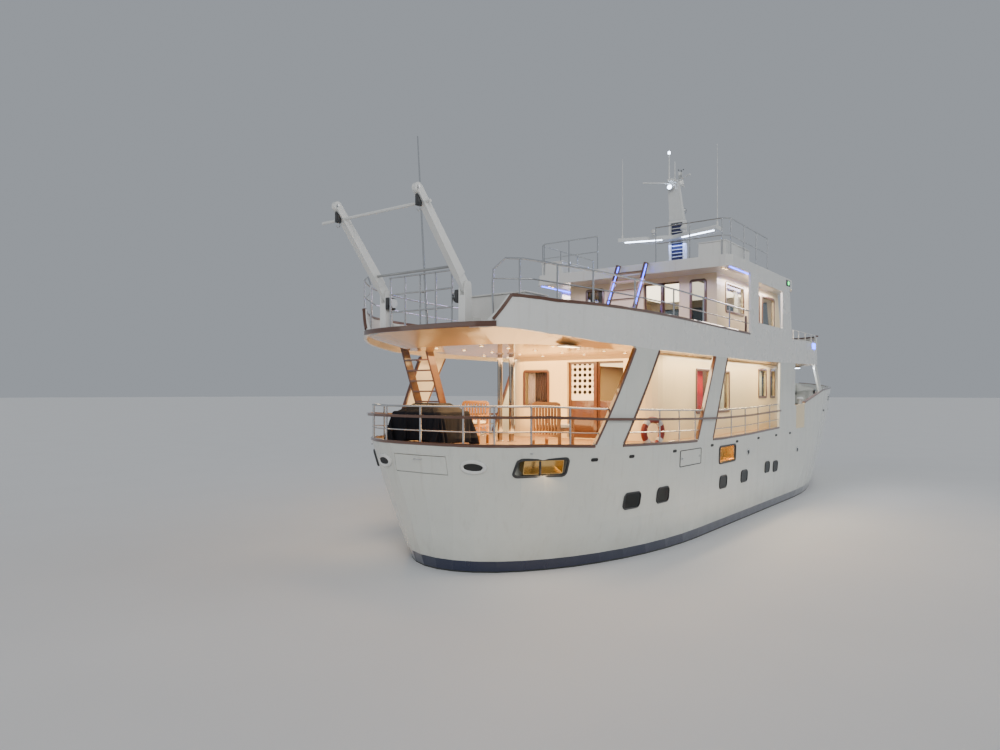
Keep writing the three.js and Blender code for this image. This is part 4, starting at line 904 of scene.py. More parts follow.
class YACHT_OT_stage(bpy.types.Operator):
    """Sets the camera, the pale floor at the waterline and the soft light"""
    bl_idname = "yacht.stage"
    bl_label = "Camera and stage"

    def execute(self, context):
        camera = bpy.data.cameras.new("camera")
        camera.sensor_width = SENSOR_WIDTH
        camera.lens = FOCAL_PIXELS * SENSOR_WIDTH / IMAGE_WIDTH
        camera.shift_y = (HORIZON_ROW - IMAGE_HEIGHT / 2) / IMAGE_WIDTH
        camera.clip_end = 1500.0
        heading = (math.cos(CAMERA_HEADING), math.sin(CAMERA_HEADING), 0.0)
        context.scene.camera = hold(camera, CAMERA_AT, heading)
        deselect()
        bpy.ops.mesh.primitive_grid_add(x_subdivisions=4, y_subdivisions=4, size=1200, location=(0, 0, 0))
        floor = settle(context.active_object)
        floor.name = "floor"
        paint = Finish("floor_paint")
        cloud = paint.noise(paint.place, 0.4, 2.0)
        paint.look({"Base Color": paint.mix(cloud, (0.7, 0.71, 0.72), (0.74, 0.75, 0.76)), "Roughness": 0.7})
        floor.data.materials.append(bpy.data.materials["floor_paint"])
        world = bpy.data.worlds.new("studio")
        world.use_nodes = True
        background = world.node_tree.nodes["Background"].inputs
        background["Color"].default_value = (0.78, 0.84, 0.92, 1)
        background["Strength"].default_value = 0.42
        context.scene.world = world
        for name, place, target, power, width in STUDIO_LIGHTS:
            light = bpy.data.lights.new(name, "SUN")
            light.energy = power
            light.angle = math.radians(width)
            light.color = (1.0, 0.98, 0.95)
            hold(light, place, Vector(target) - Vector(place))
        return {"FINISHED"}


# Trims
# Sill trims between the screens: aft end, forward end
SILL_TRIMS = ((-10.53, -7.17), (-6.15, -0.62))
TRIM_WIDTH = WALL + 0.03
PLATE_TRIM_AFT_X = -13.19
BRIDGE_CENTRE_X = 3.8
BRIDGE_DEPTH = 1.37
BRIDGE_HALF_BREADTH = 3.07
BRIDGE_FULLNESS = 2 / 2.2


class YACHT_OT_trims(bpy.types.Operator):
    """Lays the varnished trims on the sills, screens, side plates and deck edge"""
    bl_idname = "yacht.trims"
    bl_label = "Varnished trims"

    def execute(self, context):
        height = context.scene.yacht.trim_height
        over_sill = lambda x: sill(x) - 0.5 * height + 0.016
        stern = strip(stern_line(SCREEN_EDGES[0][0], over_sill, WALL / 2), TRIM_WIDTH, height)
        done(stern, "sill_trim_stern", "varnish")
        sides = [strip(side_line(aft, fore, over_sill, 8), TRIM_WIDTH, height) for aft, fore in SILL_TRIMS]
        both_sides(sides, "sill_trim", "varnish")
        edges = []
        for number, (foot, head) in enumerate(SCREEN_EDGES):
            low, high = sill(foot) + 0.02, 4.35
            overlap = 0.012 if number % 2 == 0 else -0.012
            heights = [low + (high - low) * i / 8 for i in range(9)]
            line = [mid_wall(edge_at(foot, head, z) + overlap, z) for z in heights]
            edges.append(strip(line, TRIM_WIDTH, 0.055))
        both_sides(edges, "screen_trim", "varnish")
        plate_top = lambda x: height_on(PLATE_HEAD, x) - 0.5 * height + 0.02
        top = strip(side_line(PLATE_TRIM_AFT_X + 0.19, -3.46, plate_top, 28), TRIM_WIDTH, height)
        places = [PLATE_TRIM_AFT_X + 0.19 * i / 5 for i in range(6)]
        slope = [mid_wall(x, height_on(PLATE_HEAD, x)) + 0.01 * FORWARD for x in places]
        both_sides([top, strip(slope, TRIM_WIDTH, height)], "side_plate_trim", "varnish")
        edge = stern_line(-13.17, lambda x: BOAT_DECK_Z + 0.005, 0.012)
        done(strip(edge, 0.06, 0.1), "deck_edge_trim", "varnish")
        bow = side_line(2.34, 12.85, lambda x: height_on(BOW_RAIL_LINE, x) + 0.012, 30)
        both_sides(strip(bow, TRIM_WIDTH + 0.02, 0.05), "bow_rail_trim", "varnish")
        bridge = []
        for i in range(25):
            angle = math.pi * (i / 24 - 0.5) * 0.93
            across = math.copysign(abs(math.sin(angle)) ** BRIDGE_FULLNESS * BRIDGE_HALF_BREADTH, angle)
            ahead = BRIDGE_CENTRE_X + BRIDGE_DEPTH * math.cos(angle) ** BRIDGE_FULLNESS
            bridge.append((ahead, across, 5.49))
        done(strip(bridge, 0.1, 0.05), "bridge_trim", "varnish")
        return {"FINISHED"}


# Glazing
HOUSE_SIDE_Y = -2.2
HOUSE_AFT_X = -7.6
UPPER_SIDE_Y = -2.35
UPPER_AFT_X = -4.0
CURTAIN_DEPTH = 0.15

# Windows in the sides: aft end, forward end, sill, head
HOUSE_WINDOWS = [
    (-5.1, -4.15, 2.95, 4.08), (-3.5, -2.62, 2.95, 4.08), (0.12, 0.9, 3.33, 4.22), (1.35, 1.85, 3.33, 4.22),
]
UPPER_WINDOWS = [(-3.3, -1.8, 5.78, 6.58), (-1.3, -0.3, 5.6, 6.55), (0.0, 1.25, 5.6, 6.55)]
# Windows in the aft walls: starboard end, port end, sill, head
SALOON_WINDOW = (0.83, 1.58, 3.12, 4.03)
UPPER_AFT_WINDOWS = [(-2.02, -1.61, 5.05, 6.6), (1.19, 1.75, 5.05, 6.6)]
# Windows in the raked fronts: slope, middles across, half-width, sill, head, place and height of the foot
FRONTS = [
    (0.35 / 2.1, (-1.35, 0.0, 1.35), 0.55, 3.2, 4.05, 3.0, DECK_Z),
    (UPPER_RAKE, UPPER_PANES_Y, 0.44, 5.75, 6.56, UPPER_FRONT_X, BOAT_DECK_Z),
]
# Panes in the sliding and fixed leaves: name, body, middle of the leaf, starboard end, port end, sill, head
LEAF_PANES = [
    ("saloon_pane_sliding", "saloon_door", -7.446, -1.28, -0.62, 3.27, 4.2),
    ("saloon_pane_fixed", "yacht", -7.494, -0.48, 0.18, 3.27, 4.2),
    ("upper_pane_sliding", "upper_door", -3.846, -1.2, -0.75, 4.84, 6.61),
    ("upper_pane_fixed", "yacht", -3.894, -0.65, -0.2, 4.84, 6.61),
]
LEAF_PANEL_FOOT_Z = 2.481
LEAF_PANEL_HEAD_Z = 3.266

# Curtains along the sides and across the aft walls: name, start, end, foot, head, folds, finish
HOUSE_CURTAINS = [
    ("red_curtain", -5.04, -4.3, 2.98, 4.05, 6, "red_cloth"),
    ("house_curtain_0", -3.42, -3.12, 2.98, 4.05, 4, "cream_cloth"),
    ("house_curtain_1", -2.95, -2.66, 2.98, 4.05, 4, "cream_cloth"),
    ("house_curtain_2", 0.15, 0.42, 3.36, 4.18, 4, "cream_cloth"),
    ("house_curtain_3", 0.62, 0.86, 3.36, 4.18, 4, "cream_cloth"),
    ("house_curtain_4", 1.4, 1.82, 3.36, 4.18, 4, "cream_cloth"),
]
SALOON_CURTAINS = [
    ("saloon_curtain", 1.34, 1.56, 3.14, 4.0, 4, "lilac_cloth"),
    ("saloon_curtain_dark", 0.86, 1.33, 3.14, 4.0, 6, "plum_cloth"),
]
UPPER_CURTAINS = [
    ("upper_curtain_0", -3.24, -2.9, 5.8, 6.52, 4, "cream_cloth"),
    ("upper_curtain_1", -2.2, -1.86, 5.8, 6.52, 4, "cream_cloth"),
    ("upper_curtain_2", -1.26, -1.0, 5.8, 6.52, 4, "cream_cloth"),
    ("upper_curtain_3", 0.05, 0.3, 5.8, 6.52, 4, "cream_cloth"),
]
UPPER_AFT_CURTAINS = [
    ("upper_aft_curtain_0", 1.22, 1.42, 5.08, 6.57, 3, "cream_cloth"),
    ("upper_aft_curtain_1", 1.54, 1.72, 5.08, 6.57, 3, "cream_cloth"),
]


def window_row(rows, place, normal):
    """Rims over the edges of the openings, and panes in the middle of the wall."""
    normal = Vector(normal).normalized()
    rims, panes = [], []
    for low, high, foot, head in rows:
        centre = Vector(place((low + high) / 2, (foot + head) / 2))
        width, height = high - low, head - foot
        rim = plate(width + 0.09, height + 0.09, 0.09, 0.018, 0.075)
        rims.append(soften(face_to(rim, centre, normal), 0.005))
        pane = plate(width - 0.002, height - 0.002, 0.004, 0.01)
        panes.append(face_to(pane, centre - 0.04 * normal, normal))
    return rims, panes


def hang_curtains(rows, place):
    """Pleated curtains on rails; place turns along and off into x and y."""
    for name, low, high, foot, head, folds, finish in rows:
        count = folds * 8
        points = []
        for i in range(count + 1):
            share = i / count
            off = 0.018 * math.sin(2 * math.pi * folds * share) + 0.006 * math.sin(9.3 * share)
            points.append(Vector((*place(low + (high - low) * share, off), (foot + head) / 2)))
        piece = done(strip(points, 0.0035, head - foot, corner=0.1), name, finish, angle=60)
        rail = [(*place(end, 0.0), head + 0.012) for end in (low - 0.03, high + 0.03)]
        done(bar(*rail, 0.012), name + "_rail", "brass")


class YACHT_OT_windows(bpy.types.Operator):
    """Glazes the windows and doorways and hangs the curtains"""
    bl_idname = "yacht.windows"
    bl_label = "Windows"

    def execute(self, context):
        for name, rows, y in (("house", HOUSE_WINDOWS, HOUSE_SIDE_Y), ("upper", UPPER_WINDOWS, UPPER_SIDE_Y)):
            rims, panes = window_row(rows, lambda x, z: (x, y, z), -PORT)
            both_sides(rims, name + "_window_rims", "varnish")
            both_sides(panes, name + "_window_panes", "glass")
        rims, panes = window_row([SALOON_WINDOW], lambda y, z: (HOUSE_AFT_X, y, z), -FORWARD)
        done(rims, "saloon_window_rim", "varnish")
        done(panes, "saloon_window_pane", "glass")
        rims, panes = window_row(UPPER_AFT_WINDOWS, lambda y, z: (UPPER_AFT_X, y, z), -FORWARD)
        done(rims, "upper_aft_rims", "varnish")
        done(panes, "upper_aft_panes", "tinted_glass")
        front_rims, front_panes = [], []
        for slope, middles, half, foot, head, foot_x, foot_z in FRONTS:
            ease = 0.02 * slope
            rows = [(y - half, y + half, foot - ease, head + ease) for y in middles]
            rims, panes = window_row(rows, lambda y, z: (foot_x - slope * (z - foot_z), y, z), (1, 0, slope))
            front_rims += rims
            front_panes += panes
        done(front_rims, "front_rims", "rubber")
        done(front_panes, "front_panes", "tinted_glass")
        for name, body, x, low, high, foot, head in LEAF_PANES:
            pane = plate(high - low - 0.004, head - foot - 0.004, 0.03, 0.008)
            glass = "etched_glass" if name == "saloon_pane_fixed" else "glass"
            done(face_to(pane, (x + 0.004, (low + high) / 2, (foot + head) / 2), -FORWARD), name, glass, body)
        for name, body, x, low, high, *_ in LEAF_PANES[:2]:
            corners = (x - 0.01, low + 0.001, LEAF_PANEL_FOOT_Z), (x + 0.01, high - 0.001, LEAF_PANEL_HEAD_Z)
            board = [block(*corners, 0.003)]
            for way in SIDES:
                board.append(block((x + way * 0.008, low + 0.09, 2.57), (x + way * 0.016, high - 0.09, 3.17)))
            done(board, name.replace("pane", "panel"), "varnish", body)
        hang_curtains(HOUSE_CURTAINS, lambda along, off: (along, HOUSE_SIDE_Y + CURTAIN_DEPTH + off))
        hang_curtains(SALOON_CURTAINS, lambda along, off: (HOUSE_AFT_X + CURTAIN_DEPTH + off, along))
        hang_curtains(UPPER_CURTAINS, lambda along, off: (along, UPPER_SIDE_Y + CURTAIN_DEPTH + off))
        hang_curtains(UPPER_AFT_CURTAINS, lambda along, off: (UPPER_AFT_X + CURTAIN_DEPTH + off, along))
        return {"FINISHED"}


# Hull fittings
# Ports in the sides: place along the boat, height, length, height of the port
PORTS = [
    (-9.99, 1.26, 0.52, 0.32), (-8.83, 1.26, 0.5, 0.32), (-5.33, 1.2, 0.5, 0.31), (-3.72, 1.2, 0.5, 0.31),
    (-1.68, 1.28, 0.42, 0.31), (-0.87, 1.24, 0.42, 0.31),
]
ROUND_PORTS = ((1.51, 1.6), (-3.48, 1.84))
# Mooring openings: middle along the boat, length, middle height, height
RECESSES = [(-12.32, 0.83, 2.08, 0.3), (-5.1, 1.15, 1.9, 0.4)]
RECESS_BACK = 0.22
CLOSED_PORT = (-7.5, 1.98)
STERN_LEADS = (-1.16, 1.13)
STERN_LEAD_Z = 2.1
SCUPPERS = [(x, 2.18) for x in (-11.3, -10.2, -8.4, -6.2, -4.4, -2.6, -0.9, 0.6)] + [(5.2, 2.82), (7.4, 2.82)]
ANODES = ((-9.4, -0.55), (-7.6, -0.7), (-4.0, -0.95), (0.0, -0.95), (4.0, -0.7))
THRUSTER = (8.6, -0.45)
THRUSTER_RADIUS = 0.3
SEA_CHESTS = (-3.2, 1.4)
TRANSOM_HANDLE = (0.07, 2.2)


def loop_on_side(x, z, width, height, corner, lift=0.0, steps=5):
    """Points round a rectangle with rounded corners on the hull's side, lifted off it."""
    points = []
    for quarter, (sx, sz) in enumerate(((1, 1), (-1, 1), (-1, -1), (1, -1))):
        for i in range(steps + 1):
            angle = math.pi / 2 * (quarter + i / steps)
            spot, out = hull_spot(
                x + sx * (width / 2 - corner) + corner * math.cos(angle),
                z + sz * (height / 2 - corner) + corner * math.sin(angle),
            )
            points.append(spot + lift * out)
    return points


class YACHT_OT_hull_fittings(bpy.types.Operator):
    """Fits the ports, mooring openings, fairleads, scuppers, anodes and grilles to the hull"""
    bl_idname = "yacht.hull_fittings"
    bl_label = "Hull fittings"

    def execute(self, context):
        rims = [tube(loop_on_side(*port, 0.09, 0.004), 0.02, closed=True) for port in PORTS]
        panes = [inlay(hull_spot, *port, 0.09, 0.03, 0.02) for port in PORTS]
        both_sides(rims, "port_rims", "dark_paint")
        both_sides(panes, "port_panes", "port_glass")
        rims, backs = [], []
        for x, width, z, height in RECESSES:
            rims.append(tube(loop_on_side(x, z, width + 0.02, height + 0.02, 0.07), 0.027, closed=True))
            spot, out = hull_spot(x, z)
            inward = PORT if x > -10 else -out
            for thickness in ((0.012,), (0.19, 0.012)):
                back = plate(width - 0.03, height - 0.03, 0.03, *thickness)
                backs.append(face_to(back, spot + RECESS_BACK * inward, -inward))
        spot, out = hull_spot(-12.37, 2.08)
        rims.append(bar(spot - 0.06 * out - 0.14 * UP, spot - 0.06 * out + 0.14 * UP, 0.022))
        both_sides(rims, "mooring_rims", "dark_paint")
        # The recess linings and backs are brass, whose gold stands for the warm lamplight inside the mooring
        # openings: painted light.
        both_sides(backs, "mooring_backs", "brass")
        outline = tube(loop_on_side(*CLOSED_PORT, 1.2, 0.36, 0.03, -0.001), 0.009, closed=True)
        both_sides(outline, "closed_port_seam", "rubber")
        dog = [(0.03, -0.01), (0.03, 0.012), (0.012, 0.022)]
        dogs = [turned(dog, *hull_spot(CLOSED_PORT[0] + off, CLOSED_PORT[1]), 12) for off in (-0.5, 0.5)]
        both_sides(dogs, "closed_port_dogs", "steel")
        flanges = [skin_oval(stern_spot, y, STERN_LEAD_Z, 0.21, 0.1, 0.04) for y in STERN_LEADS]
        throats = [inlay(stern_spot, y, STERN_LEAD_Z, 0.36, 0.14, 0.069, 0.05, 0.03) for y in STERN_LEADS]
        done(flanges, "stern_fairleads", "white_paint")
        done(throats, "stern_fairlead_throats", "rubber")
        slots = []
        for x, z in SCUPPERS:
            slots.append(tube(loop_on_side(x, z, 0.16, 0.05, 0.024, 0.001), 0.008, closed=True))
            slots.append(inlay(hull_spot, x, z, 0.15, 0.04, 0.019, 0.02, 0.017))
        both_sides(slots, "scuppers", "rubber")
        seat = [(0.085, -0.02), (0.085, 0.014), (0.074, 0.022)]
        lens = [(0.06, 0.018), (0.06, 0.024), (0.05, 0.028)]
        spots = [hull_spot(*place) for place in ROUND_PORTS]
        both_sides([turned(seat, *spot, 20) for spot in spots], "round_port_seats", "steel")
        both_sides([turned(lens, *spot, 20) for spot in spots], "round_port_lenses", "port_glass")
        anodes = [soften(inlay(hull_spot, *place, 0.36, 0.13, 0.05, 0.07, 0.02), 0.02) for place in ANODES]
        both_sides(anodes, "anodes", "galvanised")
        x, z = THRUSTER
        grille = [skin_oval(hull_spot, x, z, THRUSTER_RADIUS, THRUSTER_RADIUS, 0.03)]
        for step in (-0.2, -0.1, 0.0, 0.1, 0.2):
            half = math.sqrt(THRUSTER_RADIUS ** 2 - step ** 2)
            spots = hull_spot(x + step, z - half), hull_spot(x + step, z + half)
            grille.append(bar(*[spot + 0.01 * out for spot, out in spots], 0.014))
        both_sides(grille, "thruster_grille", "galvanised")
        chests = []
        for x in [chest + 0.07 * step for chest in SEA_CHESTS for step in range(5)]:
            spots = hull_spot(x, -0.95), hull_spot(x, -0.72)
            chests.append(bar(*[spot + 0.008 * out for spot, out in spots], 0.012))
        both_sides(chests, "sea_chest_bars", "galvanised")
        spot, out = stern_spot(*TRANSOM_HANDLE)
        handle = [bar(spot + s * 0.09 * PORT, spot + 0.045 * out + s * 0.09 * PORT, 0.008) for s in SIDES]
        handle.append(bar(spot + 0.045 * out - 0.1 * PORT, spot + 0.045 * out + 0.1 * PORT, 0.009))
        done(handle, "transom_hatch_handle", "steel", "transom_hatch")
        return {"FINISHED"}


# Lamps
SIDE_CEILING_Z = CEILING_Z + 0.1
MAST_LAMP = (-1.53, 0.08, 10.06)
MAST_LAMP_AIM = (-1, 0, 0.25)
WARM_LIGHT = (1.0, 0.64, 0.3)


def glow(name, place, aim, power, size, color):
    """A soft light of its own beside a lamp's lens."""
    light = bpy.data.lights.new(name, "AREA")
    light.shape = "RECTANGLE"
    light.size, light.size_y = size
    light.energy = power
    light.color = color
    hold(light, place, aim)


def downlights():
    """Places of the lamps in the main deck's ceilings, and the lean of each."""
    places = []
    for x in (-12.2, -11.3, -10.3, -9.2, -8.2):
        places += [(x, y, CEILING_Z, 0.0) for y in (-1.7, -0.6, 0.6, 1.7)]
    for x in [-8.9 + 1.15 * i for i in range(11)]:
        places += [(x, side * 2.52, SIDE_CEILING_Z, side * 0.28) for side in SIDES]
    return places


class YACHT_OT_lamps(bpy.types.Operator):
    """Fits the lamps under the decks, on the stairs, mast and houses, with the light they give"""
    bl_idname = "yacht.lamps"
    bl_label = "Lamps"

    def execute(self, context):
        seats, lenses = [], []
        for x, y, z, tilt in downlights():
            behind_rail = x < -12 and abs(y) > 1
            over_stairs = -10.0 > x > -11.7 and y > 1.2
            if behind_rail or over_stairs:
                continue
            axis = (0, tilt, -1)
            seats.append(turned([(0.055, -0.02), (0.055, 0.008), (0.04, 0.012)], (x, y, z), axis, 16))
            lenses.append(turned([(0.034, 0.006), (0.03, 0.016), (0.004, 0.018)], (x, y, z), axis, 12))
        for place in [(x, side * 2.75, ROOF_UNDER_Z) for x in (-4.6, -4.4, -2.0, 0.2) for side in SIDES]:
            seats.append(turned([(0.06, -0.02), (0.06, 0.01), (0.04, 0.014)], place, -UP, 16))
            lenses.append(turned([(0.036, 0.01), (0.03, 0.018), (0.004, 0.02)], place, -UP, 12))
        done(seats, "downlight_seats", "brass")
        done(lenses, "downlight_lenses", "lamp_warm")
        done(block((-11.5, -2.12, 4.372), (-10.9, -1.9, 4.402), 0.01), "ceiling_lamp_seat", "white_paint")
        done(block((-11.46, -2.1, 4.366), (-10.94, -1.92, 4.376), 0.004), "ceiling_lamp_lens", "lamp_warm")
        lines = [[(-6.36, y, 4.76), (-5.08, y, 7.02)] for y in (-0.759, -0.697, 0.097, 0.159)]
        done([strip(line, 0.012, 0.03) for line in lines], "stair_light_strips", "lamp_blue")
        lines = [[(-1.62, side * 0.34, 8.412), (-1.95, side * 1.5, 8.412)] for side in SIDES]
        done([strip(line, 0.05, 0.02) for line in lines], "wing_light_strips", "lamp_white")
        for name, side in NAMED_SIDES:
            line = [(x, side * 2.95, 6.772) for x in (-4.7, 0.4)]
            done(strip(line, 0.03, 0.02), "roof_strip_" + name, "lamp_blue")
        body = [(0.09, 0), (0.1, 0.02), (0.1, 0.06), (0.07, 0.1)]
        lens = [(0.075, 0.095), (0.07, 0.12), (0.03, 0.14), (0.004, 0.145)]
        done(turned(body, MAST_LAMP, MAST_LAMP_AIM), "mast_lamp_body", "steel")
        done(turned(lens, MAST_LAMP, MAST_LAMP_AIM), "mast_lamp_lens", "lamp_white")
        side_light = [(0.06, 0), (0.06, 0.012), (0.045, 0.024), (0.004, 0.03)]
        for (name, side), finish in zip(NAMED_SIDES, ("lamp_green", "lamp_red")):
            board = block((0.1, side * 3.075, 6.84), (0.5, side * 3.055, 7.02))
            done(board, "side_light_board_" + name, "dark_paint")
            done(turned(side_light, (0.3, side * 3.073, 6.93), side * PORT, 20), "side_light_" + name, finish)
        anchor_light = [(0.035, 0), (0.04, 0.01), (0.04, 0.07), (0.02, 0.085)]
        done(turned(anchor_light, (-1.7, 0.06, 11.12), UP, 16), "anchor_light", "lamp_white")
        for name, side in NAMED_SIDES:
            lamp = block((3.25, side * 3.102, 5.0), (3.6, side * 3.07, 5.2), 0.008)
            done(lamp, "bridge_lamp_" + name, "lamp_blue")
        floods, lenses = [], []
        for x, y in [(x, side * 2.6) for side in SIDES for x in (2.2, 3.1)]:
            floods.append(block((x, y - 0.09, 4.33), (x + 0.16, y + 0.09, 4.398), 0.012))
            lenses.append(block((x + 0.02, y - 0.07, 4.322), (x + 0.14, y + 0.07, 4.334), 0.004))
        done(floods, "fore_flood_lamps", "dark_paint")
        done(lenses, "fore_flood_lenses", "lamp_white")
        power = context.scene.yacht.lamp_power / 9.0
        glow("aft_deck_glow", (-9.9, 0, 4.3), -UP, 420 * power, (4.6, 3.8), WARM_LIGHT)
        glow("aft_ceiling_glow", (-9.9, 0, 2.5), UP, 240 * power, (4.0, 3.4), WARM_LIGHT)
        for side in SIDES:
            glow("side_deck_glow", (-3.4, side * 2.62, 4.38), -UP, 260 * power, (9.0, 0.5), (1.0, 0.8, 0.52))
            glow("upper_glow", (-1.2, side * 2.7, 6.7), -UP, 110 * power, (4.6, 0.4), (0.95, 0.8, 0.7))
            aim = (-0.3, side * 0.3, -0.4)
            glow("mooring_glow", (-12.28, side * 2.3, 2.16), aim, 16 * power, (0.3, 0.1), WARM_LIGHT)
            aim = (0, -side * 0.3, -1)
            glow("middle_mooring_glow", (-5.1, side * 2.88, 2.06), aim, 6 * power, (0.6, 0.1), WARM_LIGHT)
            aim = (0.55, 0, -1)
            glow("fore_glow", (3.0, side * 2.62, 4.3), aim, 60 * power, (1.0, 0.3), (0.82, 0.9, 1.0))
        glow("saloon_glow", (-3.0, 0, 4.3), -UP, 220 * power, (7.0, 3.0), WARM_LIGHT)
        glow("upper_house_glow", (-1.2, 0, 6.7), -UP, 150 * power, (4.0, 3.0), (1.0, 0.82, 0.6))
        glow("wing_glow", (-1.3, 0, 8.3), -UP, 34 * power, (0.4, 2.4), (0.3, 0.42, 1.0))
        glow("upper_deck_glow", (-5.2, 0, 6.6), -UP, 90 * power, (1.6, 4.0), (0.75, 0.65, 1.0))
        return {"FINISHED"}


# Deck gear
# Foredeck bollards: place along and across, how far the pair is turned
BOLLARDS = ((9.9, -1.35, 0.35), (9.9, 1.35, -0.35), (5.7, -2.55, 0.05), (5.7, 2.55, -0.05))
FILLER_CAPS = ((-10.9, -2.3, DECK_Z), (-6.9, -2.55, DECK_Z), (-6.9, 2.55, DECK_Z), (6.4, -2.3, FOREDECK_Z))
LIFEBUOY_PLACE = (-9.02, 2.79, 2.62)
LIFEBUOY_RADIUS = 0.27
LIFEBUOY_TURN = math.radians(19)
# Chairs: place and turn of each
CHAIRS = (("first", (-11.05, -1.55, 0), 0), ("second", (-10.62, 0.98, 0), 194))
# Door handles: name, body, place
DOOR_HANDLES = (
    ("saloon_handle", "saloon_door", (-7.426, -0.58, 3.3)),
    ("upper_handle", "upper_door", (-3.826, -0.715, 5.75)),
)
HATCH_LIGHT = (8.66, 0)
HATCH_HANDLE_X = 8.4


def cleat(place, along=FORWARD):
    """A bar on two feet, for lines."""
    here = Vector(place)
    along = Vector(along).normalized() * 0.16
    lift = 0.055 * UP
    parts = [bar(here - along * 1.1 + lift, here + along * 1.1 + lift, 0.014)]
    foot = [(0.03, -0.002), (0.026, 0.008), (0.014, 0.02), (0.014, 0.055)]
    return parts + [turned(foot, here + along * side * 0.4, UP, 12) for side in SIDES]


def bollard(place, along):
    """A pair of posts on a plate."""
    here = Vector(place)
    along = Vector(along).normalized() * 0.17
    post = [
        (0.085, 0), (0.085, 0.012), (0.06, 0.02), (0.055, 0.24), (0.075, 0.26), (0.075, 0.29), (0.05, 0.305),
    ]
    parts = [turned(post, here + along * side, UP, 20) for side in SIDES]
    return parts + [face_to(plate(0.56, 0.2, 0.06, 0.014), here - 0.001 * UP, UP)]


def mushroom(place, height=0.36, radius=0.11):
    """A ventilator with a domed cap."""
    foot, stem, brim = 1.15 * radius, 0.62 * radius, 1.3 * radius
    return turned([
        (foot, -0.002), (foot, 0.015), (stem, 0.03), (stem, height * 0.72), (radius * 1.25, height * 0.7),
        (brim, height * 0.78), (radius, height * 0.93), (radius * 0.3, height),
    ], place)


def make_lifebuoy(name, side):
    x, y, z = LIFEBUOY_PLACE
    middle = Vector((x, side * y, z))
    along = Vector((math.cos(LIFEBUOY_TURN), side * math.sin(LIFEBUOY_TURN), 0))
    ring_at = lambda a, r=LIFEBUOY_RADIUS: middle + r * math.cos(a) * along + r * math.sin(a) * UP
    done(tube([ring_at(a) for a in angles(32)], 0.068, closed=True), "lifebuoy_" + name, "buoy_red")
    bands = []
    for middle_angle in (45, 135, 225, 315):
        arc = [ring_at(math.radians(middle_angle + k)) for k in (-11, -5, 0, 5, 11)]
        bands.append(tube(arc, 0.0705))
    done(bands, "lifebuoy_bands_" + name, "plastic")
    foot = ring_at(math.pi / 2, 0.19)
    back = side * 0.12 * PORT
    hook = tube([foot + back, foot + back * 0.2, foot - back * 0.5, foot - back * 0.5 + 0.05 * UP], 0.008)
    done(hook, "lifebuoy_hook_" + name, "steel")


def second_chair():
    """A copy of the first chair's mesh, turned towards it."""
    source = frame["nodes"]["deck_chair"]
    chair = bpy.data.objects.new("chair", source.data.copy())
    bpy.context.collection.objects.link(chair)
    edit(chair, merge_doubles, turn_outwards)
    (_, first, _), (_, second, turn) = CHAIRS
    turned_about = Matrix.Rotation(math.radians(turn), 4, "Z") @ Matrix.Translation(-Vector(first))
    chair.matrix_world = Matrix.Translation(second) @ turned_about
    done(chair, "deck_chair_second", "teak")


class YACHT_OT_deck_gear(bpy.types.Operator):
    """Fits bollards, cleats, vents, chairs, lifebuoys, door handles and hatch gear"""
    bl_idname = "yacht.deck_gear"
    bl_label = "Deck gear"

    def execute(self, context):
        bollards = [bollard((x, y, FOREDECK_Z), (1, turn, 0)) for x, y, turn in BOLLARDS]
        done(sum(bollards, []), "foredeck_bollards", "dark_paint")
        cleats = []
        for side in SIDES:
            cleats += cleat((-12.55, side * 1.95, DECK_Z), (0.4, side * -0.9, 0))
            cleats += cleat((-7.9, side * 2.72, DECK_Z))
            cleats += cleat((-2.2, side * 2.86, DECK_Z))
        done(cleats, "deck_cleats", "steel")
        vents = [mushroom((7.0, side * 1.7, FOREDECK_Z)) for side in SIDES]
        vents.append(mushroom((10.2, 0.55, FOREDECK_Z), 0.3, 0.08))
        vents += [mushroom((-1.9, side * 1.1, ROOF_Z), 0.26, 0.1) for side in SIDES]
        done(vents, "mushroom_vents", "white_paint")
        cap = [(0.05, -0.002), (0.048, 0.006), (0.02, 0.007)]
        done([turned(cap, place, UP, 20) for place in FILLER_CAPS], "deck_filler_caps", "bronze")
        for name, side in NAMED_SIDES:
            make_lifebuoy(name, side)
        second_chair()
        for name, place, turn in CHAIRS:
            pad = block((-0.22, -0.3, 2.752), (0.24, 0.3, 2.83), 0.035, 4)
            pad.matrix_world = Matrix.Translation(place) @ Matrix.Rotation(math.radians(turn), 4, "Z")
            cushion = done(pad, "seat_cushion_" + name, "cream_cloth", angle=60)
        for name, body, place in DOOR_HANDLES:
            foot = Vector(place) - 0.002 * FORWARD
            grip = Vector(place) + 0.03 * FORWARD
            parts = [bar(foot + height * UP, grip + height * UP, 0.007) for height in (-0.1, 0.1)]
            parts.append(bar(grip - 0.13 * UP, grip + 0.13 * UP, 0.009))
            done(parts, name, "brass", body)
        for name, side in NAMED_SIDES:
            y = side * 2.99
            latch = [block((1.36, y - 0.012, 2.74), (1.5, y + 0.012, 2.8), 0.005)]
            latch.append(bar((1.43, y, 2.77), (1.43, y - side * 0.05, 2.77), 0.009))
            done(latch, "gate_latch_" + name, "steel", "gate_" + name)
        x = HATCH_HANDLE_X
        handle = [bar((x, side * 0.12, 3.13), (x, side * 0.12, 3.17), 0.008) for side in SIDES]
        handle.append(bar((x, -0.13, 3.168), (x, 0.13, 3.168), 0.01))
        done(handle, "foredeck_hatch_handle", "steel", "foredeck_hatch")
        rim = soften(face_to(plate(0.5, 0.5, 0.06, 0.016, 0.06), (*HATCH_LIGHT, 3.134), UP), 0.004)
        done(rim, "foredeck_hatch_light_rim", "steel", "foredeck_hatch")
        pane = face_to(plate(0.4, 0.4, 0.03, 0.01), (*HATCH_LIGHT, 3.132), UP)
        done(pane, "foredeck_hatch_light", "tinted_glass", "foredeck_hatch")
        return {"FINISHED"}


